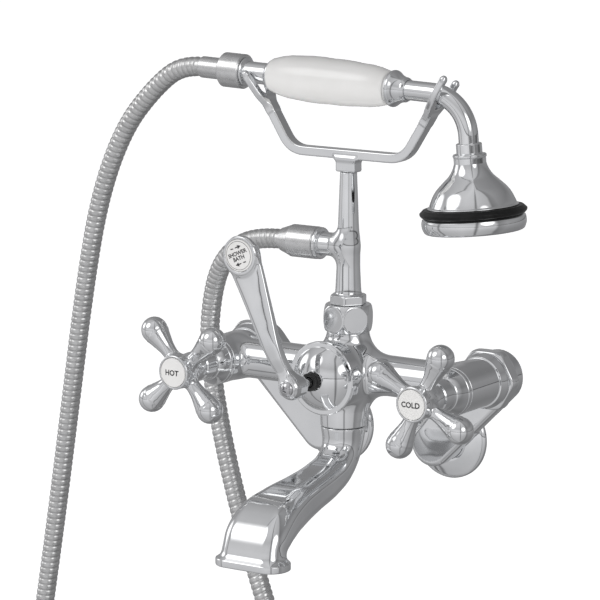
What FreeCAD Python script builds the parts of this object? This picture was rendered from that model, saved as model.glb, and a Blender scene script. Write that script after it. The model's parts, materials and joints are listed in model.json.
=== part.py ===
"""Wall mounted bath faucet with a lever diverter, cradle and hand shower.

Frame: the origin lies on the wall, midway between the two wall inlets.
+X points to the cold side, +Y into the wall and +Z up. Lengths are millimetres.
"""
import FreeCAD, Part
import math
import os
import Sketcher

V = FreeCAD.Vector
doc = FreeCAD.newDocument("BathFaucet")
sheet = doc.addObject("Spreadsheet::Sheet", "Sizes")

# Driving dimensions: alias and value, in millimetres and degrees.
DRIVING = (
    ("valve_spread", 178.0), ("inlet_spread", 86.0), ("valve_rise", 49.0), ("hub_depth", 57.5),
    ("crossbar_radius", 13.0), ("crossbar_bore", 8.0), ("barrel_radius", 15.5),
    ("barrel_front", 78.0), ("barrel_rear", 37.2), ("cartridge_bore", 10.5),
    ("hub_radius", 15.0), ("hub_drop", 34.4), ("neck_radius", 13.5), ("neck_rise", 26.0),
    ("boss_radius", 20.0), ("boss_front", 86.0), ("chamber_radius", 11.0), ("chamber_rear", 47.0),
    ("ring_radius", 23.7), ("ring_front", 89.3), ("dome_radius", 20.0), ("dome_front", 98.5),
    ("spindle_radius", 4.5), ("spindle_waist", 3.2), ("lever_boss_rear", 115.0), ("lever_boss_front", 128.0),
    ("lever_boss_radius", 7.8), ("lever_reach", 88.5), ("lever_tilt", 23.5), ("lever_front", 129.0),
    ("lever_head_radius", 12.3), ("label_radius", 10.2),
    ("arm_front", 27.8), ("arm_rear", 17.8), ("arm_top_radius", 17.0), ("arm_foot_radius", 14.5),
    ("inlet_bore", 9.2), ("inlet_depth", 15.0), ("flange_radius", 26.6), ("flange_thick", 7.0),
    ("union_corner", 43.0), ("union_front", 37.0), ("union_rear", 28.0),
    ("stem_radius", 4.5), ("handle_depth", 115.0), ("handle_front", 125.4), ("handle_rear", 101.0),
    ("ball_reach", 32.1), ("ball_radius", 8.6), ("hot_turn", 42.0), ("cold_turn", 63.0),
    ("button_radius", 9.5), ("bezel_radius", 11.2),
    ("riser_nut_corner", 33.5), ("riser_nut_rise", 43.4), ("collar_corner", 24.6), ("collar_rise", 49.5),
    ("riser_foot_radius", 8.3), ("riser_top_radius", 5.4), ("riser_top_rise", 128.0),
    ("outlet_rise", 80.4), ("outlet_radius", 7.5), ("outlet_ring_radius", 10.3),
    ("outlet_ring_reach", 22.3),
    ("hose_nut_reach", 50.0), ("hose_nut_radius", 10.5), ("hose_radius", 6.5),
    ("bar_rise", 136.4), ("bar_thick", 6.0), ("bar_deep", 8.5), ("arm_lean", 32.0),
    ("fork_reach", 72.3), ("fork_slot", 7.9), ("fork_half", 12.0), ("prong_wide", 4.4),
    ("handset_rise", 187.5), ("tube_radius", 6.3), ("tube_wall", 1.2), ("bend_radius", 27.0),
    ("head_reach", 88.0), ("head_tilt", 5.0), ("head_drop", 34.5), ("handset_tilt", 1.7),
    ("grip_left", 57.0), ("grip_right", 30.3), ("grip_end_radius", 10.8), ("grip_radius", 14.6),
    ("handset_nut_left", 95.0), ("handset_nut_right", 78.5), ("handset_nut_radius", 11.2),
    ("sleeve_left", 112.0), ("rim_radius", 32.3), ("rubber_radius", 33.5), ("bell_radius", 28.6),
    ("spout_radius", 12.3), ("spout_wall", 2.6), ("spout_depth", 63.0), ("spout_top", 28.8), ("mouth_reach", 166.0),
    ("mouth_drop", 105.5),
    ("mouth_long", 51.0), ("mouth_wide", 25.0), ("running_gap", 0.05),
)
for row, (alias, number) in enumerate(DRIVING, start=1):
    sheet.set("A%d" % row, alias)
    sheet.set("B%d" % row, "%g" % number)
    sheet.setAlias("B%d" % row, alias)
doc.recompute()


class Size:
    """A length with both its value and the sheet expression that gives it."""

    def __init__(self, value, text):
        self.value = value
        self.text = text

    @staticmethod
    def of(other):
        return other if isinstance(other, Size) else Size(float(other), "%.9g" % other)

    def _join(self, other, sign, value):
        return Size(value, "(%s %s %s)" % (self.text, sign, other.text))

    def __add__(self, other):
        other = Size.of(other)
        return self._join(other, "+", self.value + other.value)

    def __radd__(self, other):
        return Size.of(other) + self

    def __sub__(self, other):
        other = Size.of(other)
        return self._join(other, "-", self.value - other.value)

    def __rsub__(self, other):
        return Size.of(other) - self

    def __mul__(self, other):
        other = Size.of(other)
        return self._join(other, "*", self.value * other.value)

    def __rmul__(self, other):
        return Size.of(other) * self

    def __truediv__(self, other):
        other = Size.of(other)
        return self._join(other, "/", self.value / other.value)

    def __neg__(self):
        return Size(-self.value, "(-%s)" % self.text)

    def __float__(self):
        return self.value


class Sizes:
    """Gives each alias of the sheet as a Size."""

    def __getattr__(self, alias):
        return Size(float(sheet.get(alias)), "Sizes." + alias)


z = Sizes()
nodes = {}


def keep(label, obj):
    """Files an object as the sub-part that carries this label."""
    obj.Label = label
    nodes[label] = obj
    return obj


def bind(obj, **sizes):
    """Sets properties of an object from sizes, with an expression for each."""
    for name, size in sizes.items():
        obj.setExpression(name, Size.of(size).text)


AIM = {
    "+X": FreeCAD.Rotation(V(0, 1, 0), 90),
    "-X": FreeCAD.Rotation(V(0, 1, 0), -90),
    "+Y": FreeCAD.Rotation(V(1, 0, 0), -90),
    "-Y": FreeCAD.Rotation(V(1, 0, 0), 90),
    "+Z": FreeCAD.Rotation(),
    "-Z": FreeCAD.Rotation(V(1, 0, 0), 180),
}


def at(x, y, height, aim="+Z"):
    """A placement whose local Z axis points along the named world axis."""
    turn = AIM[aim] if isinstance(aim, str) else aim
    return FreeCAD.Placement(V(float(x), float(y), float(height)), turn)


def cylinder(radius, length, place):
    obj = doc.addObject("Part::Cylinder", "Cylinder")
    bind(obj, Radius=radius, Height=length)
    obj.Placement = place
    return obj


def box(length, width, height, place, centred=True):
    obj = doc.addObject("Part::Box", "Box")
    bind(obj, Length=length, Width=width, Height=height)
    if centred:
        shift = V(-float(length) / 2, -float(width) / 2, 0)
        place = place.multiply(FreeCAD.Placement(shift, FreeCAD.Rotation()))
    obj.Placement = place
    return obj


def hexagon(corner_width, height, place):
    """A hexagonal prism given by its width across the corners."""
    obj = doc.addObject("Part::Prism", "Prism")
    obj.Polygon = 6
    bind(obj, Circumradius=Size.of(corner_width) / 2, Height=height)
    obj.Placement = place
    return obj


def sphere(radius, place):
    obj = doc.addObject("Part::Sphere", "Sphere")
    bind(obj, Radius=radius)
    obj.Placement = place
    return obj


def fuse(*parts):
    obj = doc.addObject("Part::MultiFuse", "Fuse")
    obj.Shapes = list(parts)
    return obj


def cut(base, *tools):
    obj = doc.addObject("Part::Cut", "Cut")
    obj.Base = base
    obj.Tool = tools[0] if len(tools) == 1 else fuse(*tools)
    return obj


def common(*parts):
    obj = doc.addObject("Part::MultiCommon", "Common")
    obj.Shapes = list(parts)
    return obj


def solid(shape):
    """A Part::Feature for a form that neither a sketch nor a primitive gives."""
    obj = doc.addObject("Part::Feature", "Form")
    obj.Shape = shape
    return obj


def plane_of(body, role):
    return next(plane for plane in body.Origin.OriginFeatures if plane.Role == role)


def arc_between(first, last, radius):
    """The shorter arc between two points, bulging left of the travel where the radius is positive."""
    chord = last - first
    half = chord.Length / 2
    rise = math.sqrt(max(radius * radius - half * half, 0.0))
    left = V(-chord.y, chord.x, 0).normalize()
    centre = (first + last) * 0.5 - left * math.copysign(rise, radius)
    begin, end = (last, first) if radius > 0 else (first, last)
    angles = [math.atan2(point.y - centre.y, point.x - centre.x) for point in (begin, end)]
    if angles[1] < angles[0]:
        angles[1] += 2 * math.pi
    return Part.ArcOfCircle(Part.Circle(centre, V(0, 0, 1), abs(radius)), *angles)


def turned(profile, place):
    """A body turned about its own Z axis.

    Each corner of the profile is (radius, height), or (radius, height, bulge) where the edge to
    the next corner is an arc of that radius: above zero bulges left of the travel, below right.
    """
    body = doc.addObject("PartDesign::Body", "Turned")
    sketch = body.newObject("Sketcher::SketchObject", "Profile")
    sketch.AttachmentSupport = [(plane_of(body, "XZ_Plane"), "")]
    sketch.MapMode = "FlatFace"
    corners = [V(float(corner[0]), float(corner[1]), 0) for corner in profile]
    count = len(corners)
    for index, corner in enumerate(profile):
        first = corners[index]
        last = corners[(index + 1) % count]
        if len(corner) == 2:
            sketch.addGeometry(Part.LineSegment(first, last), False)
            continue
        sketch.addGeometry(arc_between(first, last, float(corner[2])), False)
    bind_profile(sketch, profile, corners)
    turn = body.newObject("PartDesign::Revolution", "Turn")
    turn.Profile = sketch
    turn.ReferenceAxis = (sketch, ["V_Axis"])
    turn.Angle = 360
    body.Placement = place
    return body


def bind_profile(sketch, profile, corners):
    """Joins the edges of a closed profile and ties each corner to its two sizes."""
    count = len(corners)
    starts = []
    for index, corner in enumerate(corners):
        edge = sketch.Geometry[index]
        near = (edge.StartPoint - corner).Length < (edge.EndPoint - corner).Length
        starts.append(1 if near else 2)
    constraints = []
    sizes = []
    for index, corner in enumerate(profile):
        before = (index - 1) % count
        joint = (before, 3 - starts[before], index, starts[index])
        constraints.append(Sketcher.Constraint("Coincident", *joint))
        for kind, size in (("DistanceX", corner[0]), ("DistanceY", corner[1])):
            sizes.append((len(constraints), Size.of(size).text))
            constraints.append(Sketcher.Constraint(kind, -1, 1, index, starts[index], float(size)))
        if len(corner) == 3:
            sizes.append((len(constraints), "abs(%s)" % Size.of(corner[2]).text))
            constraints.append(Sketcher.Constraint("Radius", index, abs(float(corner[2]))))
    sketch.addConstraint(constraints)
    for number, text in sizes:
        sketch.setExpression("Constraints[%d]" % number, text)


def tube(outer, inner, length, place):
    """A plain ring or sleeve."""
    profile = [(inner, 0), (outer, 0), (outer, length), (inner, length)]
    return turned(profile, place)


def cap_radius(half_width, rise):
    """Radius of a spherical cap from its half width and its height."""
    return (half_width * half_width + rise * rise) / (2 * rise)


# ---------------------------------------------------------------- body and its valves

SIDES = (("hot", -1), ("cold", 1))


def valve_x(side):
    return side * z.valve_spread / 2


def body_casting():
    """Hub, crossbar and two valve barrels in one hollow casting."""
    rise = z.valve_rise
    bottom = rise - z.hub_drop
    neck_top = rise + z.neck_rise
    thread_top = neck_top + 7
    column = turned([
        (0, rise - 24), (z.hub_radius - 5.6, rise - 24), (z.hub_radius, rise - 13),
        (z.hub_radius + 2.5, rise - 2, -30), (z.hub_radius + 1.2, rise + 8, 22),
        (z.neck_radius, rise + 18), (z.neck_radius, neck_top),
        (z.neck_radius - 2, neck_top), (z.neck_radius - 2, thread_top), (0, thread_top),
    ], at(0, -z.hub_depth, 0))
    foot = turned([
        (0, bottom), (z.hub_radius, bottom), (z.hub_radius, rise - 13),
        (z.hub_radius + 1.8, rise - 4), (0, rise),
    ], at(0, -z.spout_depth, 0))
    outer = z.crossbar_radius
    arms = [turned([
        (0, 0), (outer + 3.5, 6.5), (outer + 3.5, 14, 18), (outer, 25), (outer, 71, 12),
        (outer + 1.6, 76), (0, z.valve_spread / 2),
    ], at(0, -z.hub_depth, rise, aim)) for aim in ("+X", "-X")]
    boss = cylinder(z.boss_radius, z.boss_front - z.hub_depth, at(0, -z.hub_depth, rise, "-Y"))
    outside = [column, foot, boss, *arms]
    neck_rear = z.union_front - 3.7
    for _, side in SIDES:
        barrel = turned([
            (0, neck_rear), (z.barrel_radius - 2.9, neck_rear), (z.barrel_radius - 2.9, z.barrel_rear),
            (z.barrel_radius + 1.7, z.barrel_rear), (z.barrel_radius + 2.3, z.barrel_rear + 0.6),
            (z.barrel_radius + 2.3, z.barrel_rear + 2.3), (z.barrel_radius + 0.7, z.barrel_rear + 6.8),
            (z.barrel_radius - 0.4, z.barrel_rear + 7.2), (z.barrel_radius - 0.4, z.barrel_rear + 7.7),
            (z.barrel_radius, z.barrel_rear + 8.1), (z.barrel_radius, z.barrel_front - 0.5),
            (z.barrel_radius - 0.5, z.barrel_front), (0, z.barrel_front),
        ], at(valve_x(side), 0, rise, "-Y"))
        outside.append(barrel)
    skin = fuse(*outside)
    bores = [
        cylinder(z.crossbar_bore, z.valve_spread, at(-z.valve_spread / 2, -z.hub_depth, rise, "+X")),
        cylinder(z.chamber_radius, z.boss_front - z.chamber_rear + 1, at(0, -z.chamber_rear, rise, "-Y")),
        cylinder(7, z.neck_rise + 8, at(0, -z.hub_depth, rise)),
        cylinder(z.spout_radius - 2.3, 14, at(0, -z.spout_depth, bottom - 0.5)),
        cylinder(7, z.hub_drop, at(0, -z.spout_depth, bottom)),
        cylinder(17.2, 6, at(0, -(z.boss_front - 5), rise, "-Y")),
    ]
    for _, side in SIDES:
        x = valve_x(side)
        bores.append(cylinder(6.5, 60, at(x, -(z.union_front - 6), rise, "-Y")))
        bores.append(cylinder(z.cartridge_bore, 60, at(x, -(z.barrel_rear + 13), rise, "-Y")))
        bores.append(cylinder(13.05, 20, at(x, -(z.barrel_front - 6), rise, "-Y")))
    return keep("body_casting", cut(skin, *bores))


def cartridge(name, side):
    """Housing, seat ring, fixed disc, turning disc and stem of a quarter-turn ceramic valve."""
    x = valve_x(side)
    rise = z.valve_rise
    seat = z.barrel_rear + 13
    keep(name + "_seat_seal", tube(9.6, 6.6, 2, at(x, -seat, rise, "-Y")))
    disc = cylinder(8.4, 3, at(x, -(seat + 2.05), rise, "-Y"))
    ports = [cylinder(2.6, 5, at(x + offset, -(seat + 1), rise, "-Y")) for offset in (-4.6, 4.6)]
    keep(name + "_fixed_disc", cut(disc, *ports))
    turning = cylinder(8.2, 3, at(x, -(seat + 5.1), rise, "-Y"))
    waist = [box(7, 7, 5, at(x, -(seat + 4.5), rise + offset, "-Y")) for offset in (-7.5, 7.5)]
    slot = box(9, 2.6, 2, at(x, -(seat + 6.7), rise, "-Y"))
    keep(name + "_turning_disc", cut(turning, slot, *waist))
    housing = turned([
        (8.65, seat + 2.05), (10.4, seat + 2.05), (10.4, z.barrel_front - 6), (12.9, z.barrel_front - 6),
        (12.9, z.barrel_front - 4.5), (8.0, z.barrel_front - 4.5), (8.0, z.barrel_front + 4),
        (z.stem_radius + z.running_gap, z.barrel_front + 4), (z.stem_radius + z.running_gap, seat + 14),
        (8.65, seat + 14),
    ], at(x, 0, rise, "-Y"))
    windows = box(30, 9, 7, at(x, -(seat + 4.5), rise, "-Y"))
    keep(name + "_cartridge", cut(housing, windows))
    stem = turned([
        (0, seat + 8.2), (7.8, seat + 8.2), (7.8, seat + 11),
        (6.2, seat + 13.7), (z.stem_radius, seat + 13.7),
        (z.stem_radius, z.handle_rear - 0.1), (4.0, z.handle_rear - 0.1), (4.0, z.handle_rear + 15.5),
        (0, z.handle_rear + 15.5),
    ], at(x, 0, rise, "-Y"))
    tang = box(8.6, 2.3, 3, at(x, -(seat + 6.8), rise, "-Y"))
    thread = cylinder(1.6, 12, at(x, -(z.handle_rear + 6), rise, "-Y"))
    keep(name + "_stem", cut(fuse(stem, tang), thread))


def bonnet(name, side):
    """Turned cover that screws into the front of a valve barrel."""
    front = z.handle_rear - 0.8
    base = z.barrel_front
    keep(name + "_bonnet", turned([
        (11.5, base - 4.4), (13.0, base - 4.4), (13.0, base + 0.05),
        (z.barrel_radius - 0.5, base + 0.05), (z.barrel_radius - 0.1, base + 0.5),
        (z.barrel_radius - 0.1, base + 2.4, -1.6), (z.barrel_radius - 0.7, base + 3.5, -40),
        (11.0, base + 10.2, 3), (9.9, base + 12.6), (9.9, front - 1),
        (9.0, front), (z.stem_radius + 0.5, front), (z.stem_radius + 0.5, base + 4.6), (8.3, base + 4.6),
        (8.3, base - 2), (11.5, base - 3.5),
    ], at(valve_x(side), 0, z.valve_rise, "-Y")))


def handle(name, side, turn):
    """Cross handle: a hub with four necked, ball-ended arms, its screw and its index button."""
    rear = z.handle_rear
    axis = at(0, 0, 0, "-Y")
    hub = turned([
        (0, rear), (9.2, rear), (10.0, rear + 1), (10.0, rear + 5), (8.8, rear + 8), (8.8, rear + 17, -20),
        (10.2, z.handle_front - 5.2), (z.bezel_radius, z.handle_front - 4.2),
        (z.bezel_radius, z.handle_front - 1.2),
        (z.bezel_radius - 1, z.handle_front), (z.button_radius + 0.1, z.handle_front),
        (z.button_radius + 0.1, z.handle_front - 2.4), (5.0, z.handle_front - 2.4),
        (5.0, z.handle_front - 6),
        (0, z.handle_front - 6),
    ], axis)
    ball = z.ball_reach
    arms = [turned([
        (0, 6.2), (6.3, 6.2, 18), (4.7, 13, 80),
        (z.ball_radius * 0.96, ball - z.ball_radius * 0.28, -z.ball_radius),
        (z.ball_radius, ball, -z.ball_radius), (0, ball + z.ball_radius),
    ], at(0, -z.handle_depth, 0, aim)) for aim in ("+X", "+Z", "-X", "-Z")]
    socket = cylinder(4.05, 15.6, at(0, -(rear - 0.1), 0, "-Y"))
    hole = cylinder(2.0, 40, at(0, -rear, 0, "-Y"))
    grip = cut(fuse(hub, *arms), socket, hole)
    grip.Placement = at(valve_x(side), 0, z.valve_rise, FreeCAD.Rotation(V(0, 1, 0), -turn.value))
    keep(name + "_cross_handle", grip)
    place = at(valve_x(side), 0, z.valve_rise, "-Y")
    seat = z.handle_front - 6
    keep(name + "_handle_screw", turned([
        (0, rear + 7), (1.6, rear + 7), (1.6, seat + 0.02), (3.8, seat + 0.02), (3.8, seat + 1.6),
        (2.6, seat + 2.8), (0, seat + 2.8),
    ], place))
    face = z.handle_front - 2.3
    crest = z.button_radius - 0.8
    keep(name + "_index_button", turned([
        (0, face), (z.button_radius, face), (z.button_radius, face + 2.2, -1.2),
        (crest, face + 2.9, -cap_radius(crest, 0.4)), (0, face + 3.3),
    ], place))


# ---------------------------------------------------------------- wall side

def union(name, side):
    """Hexagon union nut, with rounded corners, and the flat washer inside it."""
    x = valve_x(side)
    rise = z.valve_rise
    front = z.union_front
    rear = z.union_rear
    blank = hexagon(z.union_corner, front - rear, at(x, -rear, rise, "-Y"))
    half = z.union_corner / 2
    rounding = turned([
        (0, rear), (half - 2.6, rear), (half, rear + 3), (half, front - 3.4),
        (half - 3.4, front), (0, front),
    ], at(x, 0, rise, "-Y"))
    hollow = turned([
        (0, rear - 1), (9.6, rear - 1), (9.6, rear + 1.8), (12.65, rear + 1.8),
        (12.65, front + 1), (0, front + 1),
    ], at(x, 0, rise, "-Y"))
    keep(name + "_union_nut", cut(common(blank, rounding), hollow))
    keep(name + "_union_washer", tube(12.2, 7, 1.6, at(x, -(front - 5.35), rise, "-Y")))


def slot_plate(top_radius, foot_radius, reach, thick, edge, place):
    """A plate of two end arcs joined by their common tangents, with its foot along local -Y."""
    body = doc.addObject("PartDesign::Body", "Plate")
    sketch = body.newObject("Sketcher::SketchObject", "Outline")
    sketch.AttachmentSupport = [(plane_of(body, "XY_Plane"), "")]
    sketch.MapMode = "FlatFace"
    top, foot, length = float(top_radius), float(foot_radius), float(reach)
    slant = math.asin((top - foot) / length)
    low = V(0, -length, 0)
    normal = V(0, 0, 1)
    head_circle = Part.Circle(V(0, 0, 0), normal, top)
    foot_circle = Part.Circle(low, normal, foot)
    sketch.addGeometry(Part.ArcOfCircle(head_circle, -slant, math.pi + slant), False)
    sketch.addGeometry(Part.ArcOfCircle(foot_circle, math.pi + slant, 2 * math.pi - slant), False)
    side = V(math.cos(slant), -math.sin(slant), 0)
    mirrored = V(-side.x, side.y, 0)
    sketch.addGeometry(Part.LineSegment(low + side * foot, side * top), False)
    sketch.addGeometry(Part.LineSegment(mirrored * top, low + mirrored * foot), False)
    sketch.addConstraint(Sketcher.Constraint("Coincident", 0, 3, -1, 1))
    sketch.addConstraint(Sketcher.Constraint("PointOnObject", 1, 3, -2))
    for pair in ((2, 1, 1, 2), (2, 2, 0, 1), (3, 1, 0, 2), (3, 2, 1, 1)):
        sketch.addConstraint(Sketcher.Constraint("Tangent", *pair))
    for kind, target, size in (("Radius", 0, top_radius), ("Radius", 1, foot_radius)):
        number = sketch.addConstraint(Sketcher.Constraint(kind, target, float(size)))
        sketch.setExpression("Constraints[%d]" % number, Size.of(size).text)
    number = sketch.addConstraint(Sketcher.Constraint("DistanceY", 1, 3, -1, 1, length))
    sketch.setExpression("Constraints[%d]" % number, Size.of(reach).text)
    pad = body.newObject("PartDesign::Pad", "Pad")
    pad.Profile = sketch
    bind(pad, Length=thick)
    doc.recompute()
    bevel = body.newObject("PartDesign::Chamfer", "Bevel")
    front_edges = ["Edge%d" % number for number, edge in enumerate(pad.Shape.Edges, start=1)
                   if edge.BoundBox.ZMin > float(thick) - 0.01]
    bevel.Base = (pad, front_edges)
    bevel.Size = edge
    body.Placement = place
    return body


def arm_reach():
    """Distance between the union axis and the wall inlet axis, along the swing arm."""
    across = (z.valve_spread - z.inlet_spread) / 2
    value = math.hypot(across.value, z.valve_rise.value)
    return Size(value, "sqrt(%s ^ 2 + %s ^ 2)" % (across.text, z.valve_rise.text))


def swing_arm(name, side):
    """Hollow offset arm from the union down to the wall inlet, with its cover flange and seal."""
    foot_x = side * z.inlet_spread / 2
    rise = z.valve_rise
    reach = arm_reach()
    across = (z.valve_spread - z.inlet_spread).value / 2
    tilt = math.degrees(math.atan2(across, rise.value))
    thick = z.arm_front - z.arm_rear
    plate = slot_plate(z.arm_top_radius, z.arm_foot_radius, reach, thick, 2.2, at(0, -z.arm_rear, 0, "-Y"))
    spigot = turned([
        (0, z.arm_rear + 5), (9.3, z.arm_rear + 5), (9.3, z.union_rear + 1.9), (12.2, z.union_rear + 1.9),
        (12.2, z.union_front - 5.45), (0, z.union_front - 5.45),
    ], at(0, 0, 0, "-Y"))
    foot = cylinder(13.0, z.arm_rear + 4, at(0, -0.2, -reach, "-Y"))
    channel_depth = (z.arm_front + z.arm_rear) / 2
    hollow = [
        cylinder(6, 25, at(0, -(channel_depth - 3), 0, "-Y")),
        cylinder(3.6, reach, at(0, -channel_depth, 0, "-Z")),
        cylinder(z.inlet_bore, z.inlet_depth + 0.5, at(0, 0.5, -reach, "-Y")),
        cylinder(6.0, channel_depth + 2, at(0, 0, -reach, "-Y")),
    ]
    arm = cut(fuse(plate, spigot, foot), *hollow)
    arm.Placement = at(valve_x(side), 0, rise, FreeCAD.Rotation(V(0, 1, 0), side * tilt))
    keep(name + "_swing_arm", arm)
    front = z.flange_thick
    keep(name + "_wall_flange", turned([
        (13.1, 0), (z.flange_radius, 0), (z.flange_radius, 1.8, -5), (z.flange_radius - 3, 4.2, -40),
        (14.8, front), (13.1, front), (13.1, 3.4), (16.6, 3.4), (16.6, 0.6), (13.1, 0.6),
    ], at(foot_x, 0, 0, "-Y")))
    keep(name + "_flange_oring", turned_ring(14.85, 1.4, at(foot_x, -2.0, 0, "-Y")))


def turned_ring(ring_radius, cord_radius, place):
    """An O-ring."""
    obj = doc.addObject("Part::Torus", "Ring")
    bind(obj, Radius1=ring_radius, Radius2=cord_radius)
    obj.Placement = place
    return obj


# ---------------------------------------------------------------- diverter

PORT_SWING = 47.0


def window(width, length, radius, turn):
    """A radial slot cutter about the diverter axis, turned from straight up by an angle."""
    spin = FreeCAD.Rotation(V(0, 1, 0), turn)
    return box(width, length, radius, at(0, -z.hub_depth, z.valve_rise, spin))


def diverter():
    """Bonnet, sleeve, ported rotor, spindle with two O-rings, and the S-shaped lever."""
    rise = z.valve_rise
    front = z.ring_front
    base = z.boss_front
    keep("diverter_bonnet", turned([
        (11.1, base - 4.95), (17.1, base - 4.95), (17.1, base + 0.02), (z.ring_radius - 0.7, base + 0.02),
        (z.ring_radius, base + 0.7), (z.ring_radius, front - 0.7), (z.ring_radius - 0.7, front),
        (z.dome_radius + 0.4, front), (z.dome_radius, front + 0.3, -24), (6.6, z.dome_front - 0.3),
        (6.2, z.dome_front), (6.2, z.dome_front - 4), (z.spindle_radius + z.running_gap, z.dome_front - 4),
        (z.spindle_radius + z.running_gap, base - 1.5), (11.1, base - 1.5),
    ], at(0, 0, rise, "-Y")))

    sleeve_length = base - 5.1 - z.chamber_rear
    sleeve = tube(z.chamber_radius - 0.05, 8.35, sleeve_length, at(0, -(z.chamber_rear + 0.05), rise, "-Y"))
    inlets = [window(11, 13, 14, turn) for turn in (90, -90)]
    outlets = [window(6, 13, 14, turn) for turn in (0, 180)]
    keep("diverter_sleeve", cut(sleeve, *inlets, *outlets))

    drum = turned([
        (6.3, z.chamber_rear + 1), (8.3, z.chamber_rear + 1), (8.3, base - 7), (3.1, base - 7),
        (3.1, base - 10), (6.3, base - 10),
    ], at(0, 0, rise, "-Y"))
    side_ports = [window(11, 13, 14, turn) for turn in (75, 105, -75, -105)]
    up_port = window(6, 13, 14, -PORT_SWING)
    down_port = window(6, 13, 14, 180)
    keep("diverter_rotor", cut(drum, *side_ports, up_port, down_port))

    rear = z.lever_boss_rear
    spindle = turned([
        (0, base - 11), (3.0, base - 11), (3.0, base - 6.9), (7.5, base - 6.9), (7.5, base - 1.8),
        (z.spindle_radius, base - 1.8), (z.spindle_radius, z.dome_front - 1.2),
        (z.spindle_waist, z.dome_front - 0.8), (z.spindle_waist, rear + 8.9), (0, rear + 8.9),
    ], at(0, 0, rise, "-Y"))
    keep("diverter_spindle", cut(spindle, cylinder(1.65, 10, at(0, -(rear + 1), rise, "-Y"))))
    rings = [turned_ring(z.spindle_waist + 1.33, 1.3, at(0, -(z.dome_front + step), rise, "-Y"))
             for step in (1.0, 4.4)]
    keep("diverter_spindle_orings", fuse(*rings))
    diverter_lever()


def diverter_lever():
    rise = z.valve_rise
    rear = z.lever_boss_rear
    front = z.lever_boss_front
    frame = at(0, 0, rise, FreeCAD.Rotation(V(0, 1, 0), -z.lever_tilt.value))
    boss = turned([
        (0, rear + 0.1), (z.lever_boss_radius - 1, rear + 0.1), (z.lever_boss_radius, rear + 1.1),
        (z.lever_boss_radius, front - 5, -7), (4.6, front), (0, front),
    ], at(0, 0, rise, "-Y"))
    # Each section: distance up the lever, depth from the wall, half width, half thickness.
    spine = (
        (3.0, 121.6, 5.2, 4.6), (9.0, 123.4, 4.9, 4.2), (18.0, 126.6, 5.5, 3.8), (27.0, 128.0, 6.3, 3.5),
        (43.0, 127.4, 8.0, 3.1), (59.0, 126.4, 9.6, 2.8), (75.0, 125.7, 11.2, 2.7), (84.0, 125.6, 11.9, 2.7),
    )
    sections = []
    for up, depth, half_width, half_thick in spine:
        ring = doc.addObject("Part::Ellipse", "Section")
        bind(ring, MajorRadius=half_width, MinorRadius=half_thick)
        ring.Placement = frame.multiply(at(0, -depth, up))
        sections.append(ring)
    blade = doc.addObject("Part::Loft", "Blade")
    blade.Sections = sections
    blade.Solid = True
    head_at = frame.multiply(FreeCAD.Placement(V(0, 0, z.lever_reach.value), AIM["-Y"]))
    back = z.lever_front - 6.4
    recess = z.lever_front - 1.8
    head = turned([
        (0, back), (z.lever_head_radius - 2, back, -3), (z.lever_head_radius, back + 2.4),
        (z.lever_head_radius, z.lever_front - 0.8), (z.lever_head_radius - 0.8, z.lever_front),
        (z.label_radius + 0.1, z.lever_front), (z.label_radius + 0.1, recess), (0, recess),
    ], head_at)
    keep("diverter_lever", cut(
        fuse(boss, blade, head),
        cylinder(z.spindle_waist + 0.05, 9.2, at(0, -rear, rise, "-Y")),
        cylinder(2.0, 20, at(0, -rear, rise, "-Y")),
        cylinder(z.label_radius + 0.1, 5, head_at.multiply(at(0, 0, recess))),
    ))
    keep("diverter_lever_screw", cut(
        turned([
            (0, rear + 4), (1.6, rear + 4), (1.6, front + 0.02),
            (4.2, front + 0.02), (4.2, front + 1.0, -4.6),
            (1.5, front + 3.6), (0, front + 3.6),
        ], at(0, 0, rise, "-Y")),
        box(4.4, 0.9, 2, at(0, -(front + 2), rise, "-Y")),
        box(0.9, 4.4, 2, at(0, -(front + 2), rise, "-Y")),
    ))
    crest = z.label_radius - 0.6
    keep("diverter_label_button", turned([
        (0, z.lever_front - 1.75), (z.label_radius, z.lever_front - 1.75),
        (z.label_radius, z.lever_front, -1),
        (crest, z.lever_front + 0.4, -cap_radius(crest, 0.3)), (0, z.lever_front + 0.7),
    ], head_at))


# ---------------------------------------------------------------- riser and cradle

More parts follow.
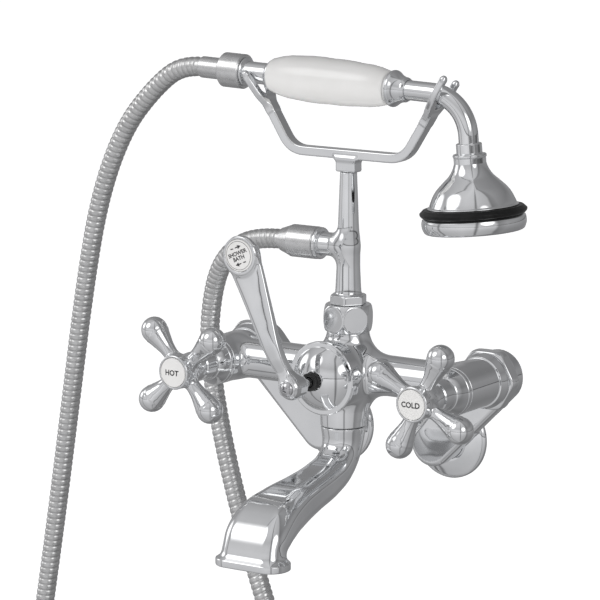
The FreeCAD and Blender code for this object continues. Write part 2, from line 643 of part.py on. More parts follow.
def riser():
    """Union nut and washer, tapered riser with a side outlet, check valve and hose nut."""
    up = z.valve_rise
    post = at(0, -z.hub_depth, up)
    neck = z.neck_rise
    top = z.riser_nut_rise
    twist = FreeCAD.Rotation(V(0, 0, 1), -9)
    blank = hexagon(z.riser_nut_corner, top - neck, at(0, -z.hub_depth, up + neck, twist))
    rounding = sphere(z.riser_nut_corner / 2 + 0.1, at(0, -z.hub_depth, up + (neck + top) / 2))
    hollow = turned([
        (0, neck - 1), (11.55, neck - 1), (11.55, neck + 12.0),
        (9.2, neck + 12.0), (9.2, top + 1), (0, top + 1),
    ], post)
    keep("riser_union_nut", cut(common(blank, rounding), hollow))
    keep("riser_union_washer", tube(11.2, 7, 1.6, at(0, -z.hub_depth, up + neck + 7.05)))

    stem = turned([
        (0, neck + 8.7), (11.2, neck + 8.7), (11.2, neck + 11.9), (9.0, neck + 11.9), (9.0, top + 0.1),
        (9.8, top + 0.1), (9.8, z.collar_rise), (z.riser_foot_radius, z.collar_rise),
        (z.riser_top_radius, z.riser_top_rise), (0, z.riser_top_rise),
    ], post)
    collar_foot = top + 0.1
    collar_place = at(0, -z.hub_depth, up + collar_foot, twist)
    collar = hexagon(z.collar_corner, z.collar_rise - collar_foot, collar_place)
    outlet_z = up + z.outlet_rise
    ring = z.outlet_ring_reach
    outlet = turned([
        (0, 0), (z.outlet_radius + 3.5, 5), (z.outlet_radius + 2.2, 8, 6), (z.outlet_radius, 12.5),
        (z.outlet_radius, ring - 2.6), (z.outlet_ring_radius - 0.6, ring - 2.6),
        (z.outlet_ring_radius, ring - 2),
        (z.outlet_ring_radius, ring - 0.4),
        (z.outlet_ring_radius - 0.4, ring), (7.9, ring), (7.9, ring + 9.5), (0, ring + 9.5),
    ], at(0, -z.hub_depth, outlet_z, "-X"))
    swell = turned([(0, 0), (8.1, 0), (8.1, 2), (0, 2)], at(0, -z.hub_depth, outlet_z - 1))
    bores = [
        cylinder(4.8, z.outlet_rise - neck - 4, at(0, -z.hub_depth, up + neck + 8)),
        cylinder(4.6, ring + 12, at(0, -z.hub_depth, outlet_z, "-X")),
        cylinder(2.5, 12, at(0, -z.hub_depth, up + z.riser_top_rise - 11)),
    ]
    keep("riser_tube", cut(fuse(stem, collar, outlet, swell), *bores))
    keep("outlet_check_valve", tube(4.5, 2.4, 8, at(-(ring + 1), -z.hub_depth, outlet_z, "-X")))
    keep("outlet_hose_washer", tube(7.8, 4.5, 1.6, at(-(ring + 9.6), -z.hub_depth, outlet_z, "-X")))
    last = z.hose_nut_reach
    keep("outlet_hose_nut", turned([
        (7.95, ring + 0.1), (z.hose_nut_radius - 0.5, ring + 0.1), (z.hose_nut_radius, ring + 0.8),
        (z.hose_nut_radius, last - 8.5), (z.hose_nut_radius - 0.8, last - 6.5), (7.4, last), (4.8, last),
        (4.8, ring + 11.3), (7.95, ring + 11.3),
    ], at(0, -z.hub_depth, outlet_z, "-X")))


def mirrored(source):
    obj = doc.addObject("Part::Mirroring", "Mirror")
    obj.Source = source
    obj.Base = (0, 0, 0)
    obj.Normal = (1, 0, 0)
    return obj


def outline_plate(outline, thick, place):
    """A flat plate cut to an outline in its own XZ plane, thickening towards -Y."""
    body = doc.addObject("PartDesign::Body", "Plate")
    sketch = body.newObject("Sketcher::SketchObject", "Outline")
    sketch.AttachmentSupport = [(plane_of(body, "XZ_Plane"), "")]
    sketch.MapMode = "FlatFace"
    corners = [V(float(corner[0]), float(corner[1]), 0) for corner in outline]
    for index, corner in enumerate(outline):
        last = corners[(index + 1) % len(corners)]
        if len(corner) == 3:
            sketch.addGeometry(arc_between(corners[index], last, float(corner[2])), False)
        else:
            sketch.addGeometry(Part.LineSegment(corners[index], last), False)
    bind_profile(sketch, outline, corners)
    pad = body.newObject("PartDesign::Pad", "Pad")
    pad.Profile = sketch
    bind(pad, Length=thick)
    body.Placement = place
    return body


def fork(place, front_top, rear_top):
    """A flat fork across the handset, with a slot that narrows to its foot and two round tips."""
    slot = z.fork_slot
    half = z.fork_half
    foot = z.bar_deep / 2
    outline = [
        (foot, -27.0, 14), (9.4, -16.5), (half, -3.0), (half, front_top), (slot, front_top), (slot, -3.0),
        (5.0, -12.0, 5.4), (-5.0, -12.0), (-slot, -3.0), (-slot, rear_top), (-half, rear_top), (-half, -3.0),
        (-9.4, -16.5, 14), (-foot, -27.0),
    ]
    plate = outline_plate(outline, z.prong_wide, place.multiply(at(0, z.prong_wide / 2, 0)))
    middle = (slot + half) / 2
    tip = (half - slot) / 2 + 0.2
    ends = [sphere(tip, place.multiply(at(offset, 0, top)))
            for offset, top in ((middle, front_top), (-middle, rear_top))]
    return fuse(plate, *ends)


def cradle():
    """Flat bar bent up at both ends into forks that carry the handset."""
    up = z.valve_rise
    low = z.bar_rise
    high = low + z.bar_thick
    lean = math.radians(z.arm_lean.value)
    half = z.bar_thick / 2
    mid = low + half
    run = (z.handset_rise - mid) / math.cos(lean)
    knee = z.fork_reach - run * math.sin(lean)
    across = half * math.cos(lean)
    along = half * math.sin(lean)
    stop = run - 19
    end_x = knee + stop * math.sin(lean)
    end_z = mid + stop * math.cos(lean)
    bend = math.tan((math.pi / 2 - lean) / 2)
    slip = half * bend
    outer = 10.5
    inner = 6.0
    half_bar = outline_plate([
        (0, low), (knee + slip - outer, low, -outer / bend),
        (knee + slip + outer * math.sin(lean), low + outer * math.cos(lean)),
        (end_x + across, end_z - along), (end_x - across, end_z + along),
        (knee - slip + inner * math.sin(lean), high + inner * math.cos(lean), inner / bend),
        (knee - slip - inner, high), (0, high),
    ], z.bar_deep, at(0, z.bar_deep / 2 - z.hub_depth, up))
    other_half = mirrored(half_bar)
    parts = [half_bar, other_half]
    for side, front_top, rear_top in ((-1, -1.0, -1.0), (1, 6.2, 0.2)):
        rise = V(side * math.sin(lean), 0, math.cos(lean))
        front = V(0, -1, 0)
        turn = FreeCAD.Rotation(front, rise.cross(front), rise, "XYZ")
        pivot = at(side * z.fork_reach, -z.hub_depth, up + z.handset_rise, turn)
        parts.append(fork(pivot, front_top, rear_top))
    seat = at(0, -z.hub_depth, up + z.riser_top_rise + 0.05)
    boss = cylinder(4.4, 9.2, seat)
    block = box(15.5, z.bar_deep + 0.5, 9, seat)
    parts.extend([boss, block])
    hole = cylinder(2.5, 10, at(0, -z.hub_depth, up + z.riser_top_rise))
    axis = handset_axis(up + z.handset_rise)
    left_bed = cylinder(7.2, 30, axis.multiply(at(0, 0, handset_height(-(z.fork_reach + 15)))))
    right_bed = solid(neck_pipe(up + z.handset_rise, z.tube_radius + 0.2))
    keep("handset_cradle", cut(fuse(*parts), hole, left_bed, right_bed))
    keep("cradle_stud", cylinder(2.45, 18, at(0, -z.hub_depth, up + z.riser_top_rise - 10)))


# ---------------------------------------------------------------- spout

def spout_section(depth, drop, wide, high, tilt, roundness):
    """A rounded rectangle across the spout, tilted from level (0) to upright (90)."""
    half_wide, half_high = wide / 2, high / 2
    radius = min(half_wide, half_high) * roundness
    tilt = math.radians(tilt)
    centre = V(0, -depth, z.valve_rise.value - drop)
    side = V(1, 0, 0)
    outer = V(0, -math.cos(tilt), math.sin(tilt))
    straight_x = half_wide - radius
    straight_y = half_high - radius
    edges = []
    for quarter, (sx, sy) in enumerate(((1, 1), (-1, 1), (-1, -1), (1, -1))):
        pivot = centre + side * (sx * straight_x) + outer * (sy * straight_y)
        ends = [side * sx, outer * sy] if quarter % 2 == 0 else [outer * sy, side * sx]
        middle = (ends[0] + ends[1]).normalize()
        edges.append([pivot + ends[0] * radius, pivot + middle * radius, pivot + ends[1] * radius])
    wire = []
    for index, (first, middle, last) in enumerate(edges):
        wire.append(Part.Arc(first, middle, last).toShape())
        wire.append(Part.LineSegment(last, edges[(index + 1) % 4][0]).toShape())
    return Part.Wire(wire)


def spout():
    """Cast spout: a round tenon, a bend, a flattened run and a flared oblong mouth."""
    wide_top = z.spout_top.value
    top = z.hub_drop.value + 0.3
    depth = z.spout_depth.value
    reach = z.mouth_reach.value
    drop = z.mouth_drop.value
    long = z.mouth_long.value
    wide = z.mouth_wide.value
    # Depth from the wall, drop below the valves, width, height, tilt and corner roundness.
    stations = (
        (depth, top, wide_top, wide_top, 0, 0.96),
        (depth, top + 4.3, wide_top - 0.9, wide_top - 0.9, 0, 0.96),
        (depth + 0.4, top + 9.3, 26.6, 26.4, 8, 0.96),
        (depth + 3.6, top + 17.6, 25.4, 24.2, 34, 0.95),
        (depth + 11.3, top + 25.4, 25.4, 23.2, 60, 0.9),
        (depth + 25.3, top + 31.1, 26.4, 23.0, 74, 0.85),
        (depth + 46.3, top + 35.7, 29.0, 23.5, 77, 0.85),
        (depth + 68.2, top + 40.0, 35.0, 25.0, 73, 0.85),
        (depth + 86.2, top + 45.3, 41.6, 25.5, 56, 0.88),
        (depth + 97.4, top + 53.6, 44.4, 23.6, 27, 0.92),
        (reach - 1.2, drop - 10.0, 43.8, 21.4, 6, 0.95),
        (reach - 0.2, drop - 6.6, 45.8, 22.2, 0, 0.96),
        (reach, drop - 4.4, long, wide, 0, 0.96),
        (reach, drop, long, wide, 0, 0.96),
    )
    wall = z.spout_wall.value
    outer = Part.makeLoft([spout_section(*station) for station in stations], True, False)
    inner_stations = [(d, h, w - 2 * wall, t - 2 * wall, tilt, r) for d, h, w, t, tilt, r in stations]
    throat = 2 * (z.spout_radius.value - 2.9)
    inner_stations[0] = (*stations[0][:2], throat, throat, 0, 0.96)
    inner_stations[1] = (*stations[1][:2], throat, throat, 0, 0.96)
    first = (depth, top - 1.0, *inner_stations[0][2:])
    last = (reach, drop + 1.0, *inner_stations[-1][2:])
    hollow = (first, *inner_stations[1:-1], last)
    inner = Part.makeLoft([spout_section(*station) for station in hollow], True, False)
    shell = solid(outer)
    passage = solid(inner)
    bottom = z.valve_rise - z.hub_drop
    tenon = cylinder(z.spout_radius - 2.4, 13, at(0, -z.spout_depth, bottom - 1.0))
    bore = cylinder(6.4, 16, at(0, -z.spout_depth, bottom - 2.5))
    groove = cut(
        cylinder(z.spout_radius, 2.4, at(0, -z.spout_depth, bottom + 6)),
        cylinder(z.spout_radius - 4.2, 2.4, at(0, -z.spout_depth, bottom + 6)),
    )
    dimple = cylinder(2.2, 10, at(0, -z.spout_depth + 8.2, bottom + 3.2, "+Y"))
    keep("spout", cut(fuse(cut(shell, passage), tenon), bore, groove, dimple))
    keep("spout_oring", turned_ring(z.spout_radius - 3.25, 0.9, at(0, -z.spout_depth, bottom + 7.2)))


# ---------------------------------------------------------------- handset

def handset_height(x):
    """Distance along the handset from the end of its hose sleeve."""
    return Size.of(x) + z.sleeve_left


def handset_axis(level):
    """The frame of the handset: its origin at the end of the hose sleeve, its Z along the handset."""
    aim = FreeCAD.Rotation(V(0, 1, 0), 90 + z.handset_tilt.value)
    return at(-z.sleeve_left, -z.hub_depth, level, aim)


def handset():
    """Hose nut, inlet fitting, porcelain grip, ferrule and bent neck tube."""
    up = z.valve_rise + z.handset_rise
    start = handset_axis(up)
    left = handset_height(-z.handset_nut_left)
    right = handset_height(-z.handset_nut_right)
    keep("handset_hose_sleeve", turned([
        (4.6, 0), (6.7, 0), (7.0, 0.4), (7.0, left - 0.1), (4.6, left - 0.1),
    ], start))
    rim = z.handset_nut_radius
    keep("handset_hose_nut", turned([
        (5.0, left), (rim - 1.2, left), (rim, left + 1.2), (rim, right - 0.8),
        (rim - 0.8, right), (8.35, right),
        (8.35, left + 2.6), (5.0, left + 2.6),
    ], start))
    washer_place = start.multiply(at(0, 0, left + 2.65))
    keep("handset_hose_washer", tube(8.2, 4.6, 1.7, washer_place))
    grip = handset_height(-z.grip_left)
    keep("handset_inlet_fitting", turned([
        (4.6, left + 4.4), (8.3, left + 4.4), (8.3, right + 0.1), (9.0, right + 0.1), (9.4, right + 0.5),
        (9.4, right + 1.1), (8.8, right + 1.6), (7.0, right + 2.4), (7.0, grip - 4.0, 4),
        (9.4, grip - 1.2), (9.8, grip - 0.8), (9.8, grip - 0.1), (4.6, grip - 0.1),
    ], start))
    end = handset_height(z.grip_right)
    full = z.grip_radius
    edge = z.grip_end_radius
    keep("handset_grip", turned([
        (6.6, grip), (edge - 0.6, grip), (edge, grip + 0.8, -60),
        (full - 0.4, grip + 20, -150), (full, grip + 45, -150),
        (full - 0.9, grip + 67, -60), (edge, end - 0.8), (edge - 0.6, end), (6.6, end),
    ], start))
    keep("handset_ferrule", turned([
        (6.4, end + 0.1), (10.1, end + 0.1), (11.3, end + 2.2, -2.6),
        (11.2, end + 5, 14), (7.9, end + 11.5),
        (7.9, end + 12.6), (7.1, end + 14), (6.4, end + 14),
    ], start))
    outside = neck_pipe(up, z.tube_radius)
    keep("handset_neck_tube", solid(outside.cut(neck_pipe(up, z.tube_radius - z.tube_wall))))
    shower_head(up)


def neck_pipe(up, size):
    """A solid rod of this radius along the line of the neck tube, round its bend to the head."""
    radius = z.bend_radius.value
    head_tilt = math.radians(z.head_tilt.value)
    tilt = math.radians(z.handset_tilt.value)
    turn = math.pi / 2 - head_tilt - tilt
    level = up.value
    depth = -z.hub_depth.value
    along = V(math.cos(tilt), 0, -math.sin(tilt))
    down = V(math.sin(head_tilt), 0, -math.cos(head_tilt))
    origin = V(-z.sleeve_left.value, depth, level)
    head = V(z.head_reach.value, depth, level - z.head_drop.value)
    gap = z.head_drop.value - math.tan(tilt) * (head.x - origin.x)
    corner = head - down * (gap / (math.cos(head_tilt) - math.tan(tilt) * math.sin(head_tilt)))
    tangent = radius * math.tan(turn / 2)
    bend_start = corner - along * tangent
    bend_end = corner + down * tangent
    centre = bend_start + V(-along.z, 0, along.x) * -radius
    middle = centre + (corner - centre).normalize() * radius
    start = origin + along * handset_height(-z.grip_left + 0.1).value
    path = Part.Wire([
        Part.LineSegment(start, bend_start).toShape(),
        Part.Arc(bend_start, middle, bend_end).toShape(),
        Part.LineSegment(bend_end, head + down * 5).toShape(),
    ])
    ring = Part.Wire(Part.Circle(start, along, size.value).toShape())
    return path.makePipeShell([ring], True, False)


def shower_head(up):
    """Bell, gasket, rubber bumper ring and perforated face plate on the tilted head axis."""
    aim = FreeCAD.Rotation(V(0, 1, 0), 180 - z.head_tilt.value)
    top = at(z.head_reach, -z.hub_depth, up - z.head_drop, aim)
    bell = z.bell_radius
    outer = [
        (z.tube_radius + 0.05, 0), (7.6, 0), (8.1, 0.6), (8.1, 6.2), (10.0, 6.6),
        (10.6, 7.2), (10.6, 8.4), (10.1, 9.0),
        (10.1, 12.5, 18), (16.7, 22.8), (21.0, 27.0, -22), (25.8, 34.4, -24), (bell - 1.3, 38.2),
        (bell, 38.8), (bell, 39.6), (bell - 1.8, 39.6),
    ]
    inner = [
        (bell - 2.4, 38.4), (24.2, 34.8, 24), (19.6, 28.4), (15.2, 24.2, -18), (8.4, 14.0), (8.4, 7.8),
        (z.tube_radius + 0.05, 7.8),
    ]
    keep("shower_head_bell", turned(outer + inner, top))
    keep("shower_gasket", tube(25.5, 22.6, 1.4, top.multiply(at(0, 0, 39.7))))
    rubber = z.rubber_radius
    keep("shower_rubber_ring", turned([
        (27.2, 39.7), (rubber - 2.2, 39.7), (rubber, 41.8, -2.8), (rubber, 42.6, -2.8),
        (rubber - 2.2, 44.8), (27.2, 44.8),
    ], top))
    rim = z.rim_radius
    plate = turned([
        (0, 50.6), (25.0, 50.6), (25.0, 41.2), (26.9, 41.2), (26.9, 44.9),
        (rim - 1.2, 44.9), (rim, 46.2, -9),
        (rim - 0.6, 53.2, -2.4), (rim - 2.6, 54.9), (25.5, 54.9), (24.5, 53.8), (0, 52.8),
    ], top)
    jets = []
    for ring_radius, count in ((0.0, 1), (6.0, 8), (12.0, 16), (18.0, 24)):
        for step in range(count):
            angle = 2 * math.pi * step / count
            spot = at(ring_radius * math.cos(angle), ring_radius * math.sin(angle), 50)
            jets.append(cylinder(0.7, 5, top.multiply(spot)))
    keep("shower_face_plate", cut(plate, *jets))


# ---------------------------------------------------------------- hose

# The hose's route beside the faucet, from the handset sleeve round to the riser outlet:
# x from the riser axis, depth from the wall, height above the valve axis.
HOSE_ROUTE = (
    (-112.02, 57.5, 187.5006), (-128.0, 57.5, 187.9749), (-150.0, 57.5, 172.0), (-176.0, 57.0, 143.0),
    (-197.0, 56.0, 96.0), (-211.0, 55.0, 34.0), (-224.0, 54.0, -42.0), (-238.0, 54.0, -128.0),
    (-254.0, 55.0, -222.0), (-270.0, 56.0, -322.0), (-262.0, 57.0, -420.0), (-214.0, 58.0, -488.0),
    (-142.0, 58.0, -510.0), (-76.0, 58.0, -476.0), (-36.0, 58.0, -402.0), (-28.0, 58.0, -306.0),
    (-44.0, 58.0, -214.0), (-76.0, 56.0, -134.0), (-101.0, 52.0, -62.0), (-117.0, 46.0, 0.0),
    (-112.0, 47.0, 42.0), (-97.0, 53.0, 66.0), (-72.0, 57.5, 80.4), (-50.0, 57.5, 80.4),
)


def hose_path(points):
    """Straight runs joined by tangent arcs, each as large as its two runs allow."""
    edges = []
    last = points[0]
    for before, here, after in zip(points, points[1:], points[2:]):
        come = (here - before)
        go = (after - here)
        turn = come.getAngle(go)
        short = min(come.Length, go.Length)
        radius = 0.45 * short / math.tan(turn / 2)
        setback = 0.45 * short
        come_unit = V(come).normalize()
        go_unit = V(go).normalize()
        first = here - come_unit * setback
        final = here + go_unit * setback
        bisector = (go_unit - come_unit).normalize()
        centre = here + bisector * (radius / math.cos(turn / 2))
        middle = centre - bisector * radius
        edges.append(Part.LineSegment(last, first).toShape())
        edges.append(Part.Arc(first, middle, final).toShape())
        last = final
    edges.append(Part.LineSegment(last, points[-1]).toShape())
    return Part.Wire(edges)


def hose():
    """The shower hose as one plain tube along its route."""
    points = [V(x, -depth, z.valve_rise.value + height) for x, depth, height in HOSE_ROUTE]
    path = hose_path(points)
    radius = z.hose_radius.value
    ring = Part.Wire(Part.Circle(points[0], points[1] - points[0], radius).toShape())
    shape = path.makePipeShell([ring], True, False)
    expected = math.pi * radius ** 2 * path.Length
    print("hose length %.1f mm, volume ratio %.4f" % (path.Length, shape.Volume / expected))
    keep("shower_hose", solid(shape))


# ---------------------------------------------------------------- assembly

body_casting()
for name, side in SIDES:
    cartridge(name, side)
    bonnet(name, side)
    handle(name, side, z.hot_turn if side < 0 else z.cold_turn)
    union(name, side)
    swing_arm(name, side)
diverter()
riser()
cradle()
spout()
handset()
hose()
doc.recompute()

faults = [obj.Name for obj in doc.Objects if {"Invalid", "Error"} & set(obj.State)]
for label, obj in nodes.items():
    if obj.Shape.isNull() or not obj.Shape.isValid():
        faults.append(label)
if faults:
    raise SystemExit("failed objects: " + ", ".join(faults))

os.makedirs("parts", exist_ok=True)
for label, obj in nodes.items():
    obj.Shape.exportStep("parts/%s.step" % label)
print("%d sub-parts written" % len(nodes))
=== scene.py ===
"""Looks of the wall mounted bath faucet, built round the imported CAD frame.

Lengths inside the helpers are millimetres in the CAD frame: the wall is the plane y = 0,
+X points to the cold side and +Z up. Meshes are written in metres.
"""
import json
import math

import bmesh
import bpy
import numpy as np
from mathutils import Matrix, Vector


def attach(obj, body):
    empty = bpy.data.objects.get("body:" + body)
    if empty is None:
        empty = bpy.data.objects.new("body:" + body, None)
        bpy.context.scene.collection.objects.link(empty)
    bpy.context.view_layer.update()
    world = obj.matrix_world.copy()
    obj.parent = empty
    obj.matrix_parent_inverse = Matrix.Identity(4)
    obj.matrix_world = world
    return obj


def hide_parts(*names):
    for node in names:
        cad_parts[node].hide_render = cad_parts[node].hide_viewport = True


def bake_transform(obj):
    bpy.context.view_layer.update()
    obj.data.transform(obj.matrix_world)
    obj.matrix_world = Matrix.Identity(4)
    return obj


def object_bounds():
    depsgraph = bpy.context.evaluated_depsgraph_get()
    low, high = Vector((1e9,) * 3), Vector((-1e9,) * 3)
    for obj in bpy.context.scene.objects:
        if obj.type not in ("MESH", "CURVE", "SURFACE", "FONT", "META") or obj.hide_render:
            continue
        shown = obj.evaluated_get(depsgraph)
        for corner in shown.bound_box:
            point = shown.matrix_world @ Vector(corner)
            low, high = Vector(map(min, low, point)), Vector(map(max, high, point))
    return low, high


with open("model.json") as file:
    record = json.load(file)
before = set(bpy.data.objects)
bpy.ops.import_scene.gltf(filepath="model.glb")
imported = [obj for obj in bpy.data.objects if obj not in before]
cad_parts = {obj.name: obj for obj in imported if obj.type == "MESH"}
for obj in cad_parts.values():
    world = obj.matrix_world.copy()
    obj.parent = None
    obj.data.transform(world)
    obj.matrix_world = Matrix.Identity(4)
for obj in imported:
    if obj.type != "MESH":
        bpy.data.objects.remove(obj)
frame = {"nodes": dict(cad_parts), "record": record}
CAD_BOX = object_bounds()

MM = 0.001
VALVE_X = 89.0
VALVE_Z = 49.0
HUB_Y = -57.5
INLET_X = 43.0
ARM_ACROSS = 46.0
ARM_REACH = math.hypot(ARM_ACROSS, VALVE_Z)
BUTTON_EDGE = 8.9
BUTTON_RISE = 0.75
BUTTON_CAP = (BUTTON_EDGE ** 2 + BUTTON_RISE ** 2) / (2 * BUTTON_RISE)
BUTTON_FACE = 125.4 - 2.3
BUTTON_LIP = BUTTON_FACE + 2.6
HANDSET_Z = 236.5
OUTLET_Z = 129.4
SPOUT_Y = -63.0
HANDSET_TILT = math.radians(1.7)
HANDSET_AIM = (
    (0, 1, 0), (math.sin(HANDSET_TILT), 0, math.cos(HANDSET_TILT)),
    (math.cos(HANDSET_TILT), 0, -math.sin(HANDSET_TILT)),
)
SLEEVE_END = (-112.0, HUB_Y, HANDSET_Z)
HEAD_TOP = (88.0, HUB_Y, HANDSET_Z - 34.5)
HEAD_TILT = math.radians(5.0)
AXES = {
    "+X": ((0, 1, 0), (0, 0, 1), (1, 0, 0)),
    "-X": ((0, -1, 0), (0, 0, 1), (-1, 0, 0)),
    "-Y": ((1, 0, 0), (0, 0, 1), (0, -1, 0)),
    "+Z": ((1, 0, 0), (0, 1, 0), (0, 0, 1)),
}
RECORD_SLOT = {row["node"]: row["material_slot"] for row in frame["record"]["subparts"]}


# ---------------------------------------------------------------- camera

def aim_camera():
    """Camera at the photograph's angle: 33.4 degrees round, 10.4 degrees up, 2.2 m away."""
    turn, lift, away = math.radians(33.42), math.radians(10.38), 2200.0
    right = Vector((math.cos(turn), math.sin(turn), 0))
    back = Vector((math.sin(turn) * math.cos(lift), -math.cos(turn) * math.cos(lift), math.sin(lift)))
    up = back.cross(right)
    target = Vector((0, -115.0, VALVE_Z)) + 0.96 * right + 53.54 * up
    data = bpy.data.cameras.new("camera")
    data.sensor_width = 36.0
    data.lens = 36.0 * 3520.0 / 600.0
    data.clip_start = 0.05
    data.clip_end = 60.0
    camera = bpy.data.objects.new("camera", data)
    matrix = Matrix((right, up, back)).transposed().to_4x4()
    matrix.translation = (target + away * back) * MM
    camera.matrix_world = matrix
    bpy.context.scene.collection.objects.link(camera)
    bpy.context.scene.camera = camera


aim_camera()


# ---------------------------------------------------------------- materials

def node(tree, kind, **values):
    made = tree.nodes.new(kind)
    for name, value in values.items():
        if name in made.inputs:
            made.inputs[name].default_value = value
        else:
            setattr(made, name, value)
    return made


def noise(tree, coords, scale, detail=3.0, roughness=0.55):
    made = node(tree, "ShaderNodeTexNoise", Scale=scale, Detail=detail, Roughness=roughness)
    tree.links.new(coords.outputs["Object"], made.inputs["Vector"])
    return made


def mapped(tree, source, low, high, start=0.3, end=0.7):
    made = node(tree, "ShaderNodeMapRange")
    for socket, value in (("From Min", start), ("From Max", end), ("To Min", low), ("To Max", high)):
        made.inputs[socket].default_value = value
    tree.links.new(source, made.inputs["Value"])
    return made


def material(name, dark, light, metallic, rough, grain, bump, fixed):
    """A surface with two tones, uneven gloss and a fine bump, all from object-space noise.

    rough is the lowest and highest roughness, grain the noise scales of tone, gloss and bump,
    bump its strength and depth in metres, and fixed holds sockets of one constant value.
    """
    made = bpy.data.materials.new(name)
    made.use_nodes = True
    tree = made.node_tree
    shader = tree.nodes["Principled BSDF"]
    shader.inputs["Metallic"].default_value = metallic
    for socket, value in fixed.items():
        shader.inputs[socket].default_value = value
    coords = node(tree, "ShaderNodeTexCoord")
    tone = noise(tree, coords, grain[0])
    mix = node(tree, "ShaderNodeMix", data_type="RGBA")
    share = mapped(tree, tone.outputs["Fac"], 0.0, 1.0)
    tree.links.new(share.outputs["Result"], mix.inputs[0])
    mix.inputs[6].default_value = (*dark, 1)
    mix.inputs[7].default_value = (*light, 1)
    tree.links.new(mix.outputs[2], shader.inputs["Base Color"])
    gloss = noise(tree, coords, grain[1], detail=5.0)
    spread = mapped(tree, gloss.outputs["Fac"], rough[0], rough[1])
    tree.links.new(spread.outputs["Result"], shader.inputs["Roughness"])
    relief = noise(tree, coords, grain[2], detail=4.0)
    bumped = node(tree, "ShaderNodeBump", Strength=bump[0], Distance=bump[1])
    tree.links.new(relief.outputs["Fac"], bumped.inputs["Height"])
    tree.links.new(bumped.outputs["Normal"], shader.inputs["Normal"])
    return made


# Each surface: dark tone, light tone, metallic, roughness, noise scales, bump, fixed sockets.
SURFACES = {
    "chrome": ((0.80, 0.81, 0.82), (0.88, 0.885, 0.89), 1.0, (0.035, 0.075),
        (35.0, 90.0, 28.0), (0.10, 0.0004), {}),
    "satin_chrome": ((0.70, 0.70, 0.70), (0.80, 0.80, 0.80), 1.0, (0.20, 0.31),
        (160.0, 420.0, 900.0), (0.03, 0.0001), {}),
    "hose_steel": ((0.62, 0.62, 0.615), (0.76, 0.76, 0.755), 1.0, (0.24, 0.36),
        (120.0, 500.0, 1400.0), (0.05, 0.0001), {}),
    "porcelain": ((0.76, 0.752, 0.735), (0.80, 0.793, 0.778), 0.0, (0.10, 0.17),
        (40.0, 60.0, 90.0), (0.05, 0.0003),
        {"Coat Weight": 0.6, "Coat Roughness": 0.04, "IOR": 1.52}),
    "black_rubber": ((0.003, 0.003, 0.003), (0.009, 0.009, 0.009), 0.0, (0.30, 0.46),
        (200.0, 350.0, 1500.0), (0.15, 0.0001), {"Specular IOR Level": 0.3}),
    "seal_rubber": ((0.012, 0.012, 0.012), (0.03, 0.03, 0.03), 0.0, (0.42, 0.58),
        (200.0, 350.0, 1500.0), (0.25, 0.0001), {}),
    "fibre_washer": ((0.20, 0.17, 0.15), (0.32, 0.28, 0.24), 0.0, (0.7, 0.9),
        (500.0, 800.0, 2500.0), (0.4, 0.0002), {}),
    "alumina": ((0.88, 0.87, 0.84), (0.93, 0.92, 0.90), 0.0, (0.15, 0.25),
        (90.0, 200.0, 800.0), (0.05, 0.0001), {}),
    "brass": ((0.66, 0.50, 0.24), (0.78, 0.62, 0.32), 1.0, (0.22, 0.38),
        (150.0, 600.0, 1200.0), (0.15, 0.0001), {}),
    "valve_plastic": ((0.78, 0.78, 0.77), (0.86, 0.86, 0.85), 0.0, (0.4, 0.55),
        (120.0, 300.0, 900.0), (0.1, 0.0001), {}),
    "screw_steel": ((0.56, 0.56, 0.57), (0.72, 0.72, 0.73), 1.0, (0.12, 0.24),
        (160.0, 500.0, 1200.0), (0.1, 0.0001), {}),
    "ink": ((0.02, 0.02, 0.022), (0.05, 0.05, 0.052), 0.0, (0.35, 0.5),
        (300.0, 600.0, 1500.0), (0.05, 0.0001), {}),
}
MATERIALS = {name: material(name, *facts) for name, facts in SURFACES.items()}


# ---------------------------------------------------------------- mesh helpers

def body_of_node(name):
    for body, members in frame["record"]["behaviour"]["bodies"].items():
        if name in members:
            return body
    raise ValueError(name)


def finish_piece(obj, name, replaces=True, rides=True):
    """Gives a piece its look, its slot, its body and the CAD node that it stands for."""
    slot = RECORD_SLOT.get(name, "chrome")
    obj.data.materials.clear()
    obj.data.materials.append(MATERIALS[slot])
    if replaces:
        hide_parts(name)
    if rides:
        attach(obj, body_of_node(name))
    return obj


def mesh_object(name, points, faces, smooth=True):
    mesh = bpy.data.meshes.new(name)
    mesh.from_pydata([tuple(p) for p in points], [], faces)
    mesh.update()
    mesh.polygons.foreach_set("use_smooth", [smooth] * len(mesh.polygons))
    obj = bpy.data.objects.new(name, mesh)
    bpy.context.scene.collection.objects.link(obj)
    return obj


def arc(first, last, radius, step=0.12):
    """Points between two profile corners on an arc that bulges left of the travel where positive."""
    first, last = np.array(first, float), np.array(last, float)
    chord = last - first
    length = np.hypot(*chord)
    reach = abs(radius)
    rise = math.sqrt(max(reach * reach - length * length / 4, 0))
    left = np.array([-chord[1], chord[0]]) / length
    centre = (first + last) / 2 - left * math.copysign(rise, radius)
    start = math.atan2(*(first - centre)[::-1])
    sweep = 2 * math.asin(min(1, length / 2 / reach))
    sweep = -sweep if radius > 0 else sweep
    count = max(3, int(abs(sweep) / step) + 1)
    angles = start + sweep * np.arange(1, count) / count
    return [centre + reach * np.array([math.cos(a), math.sin(a)]) for a in angles]


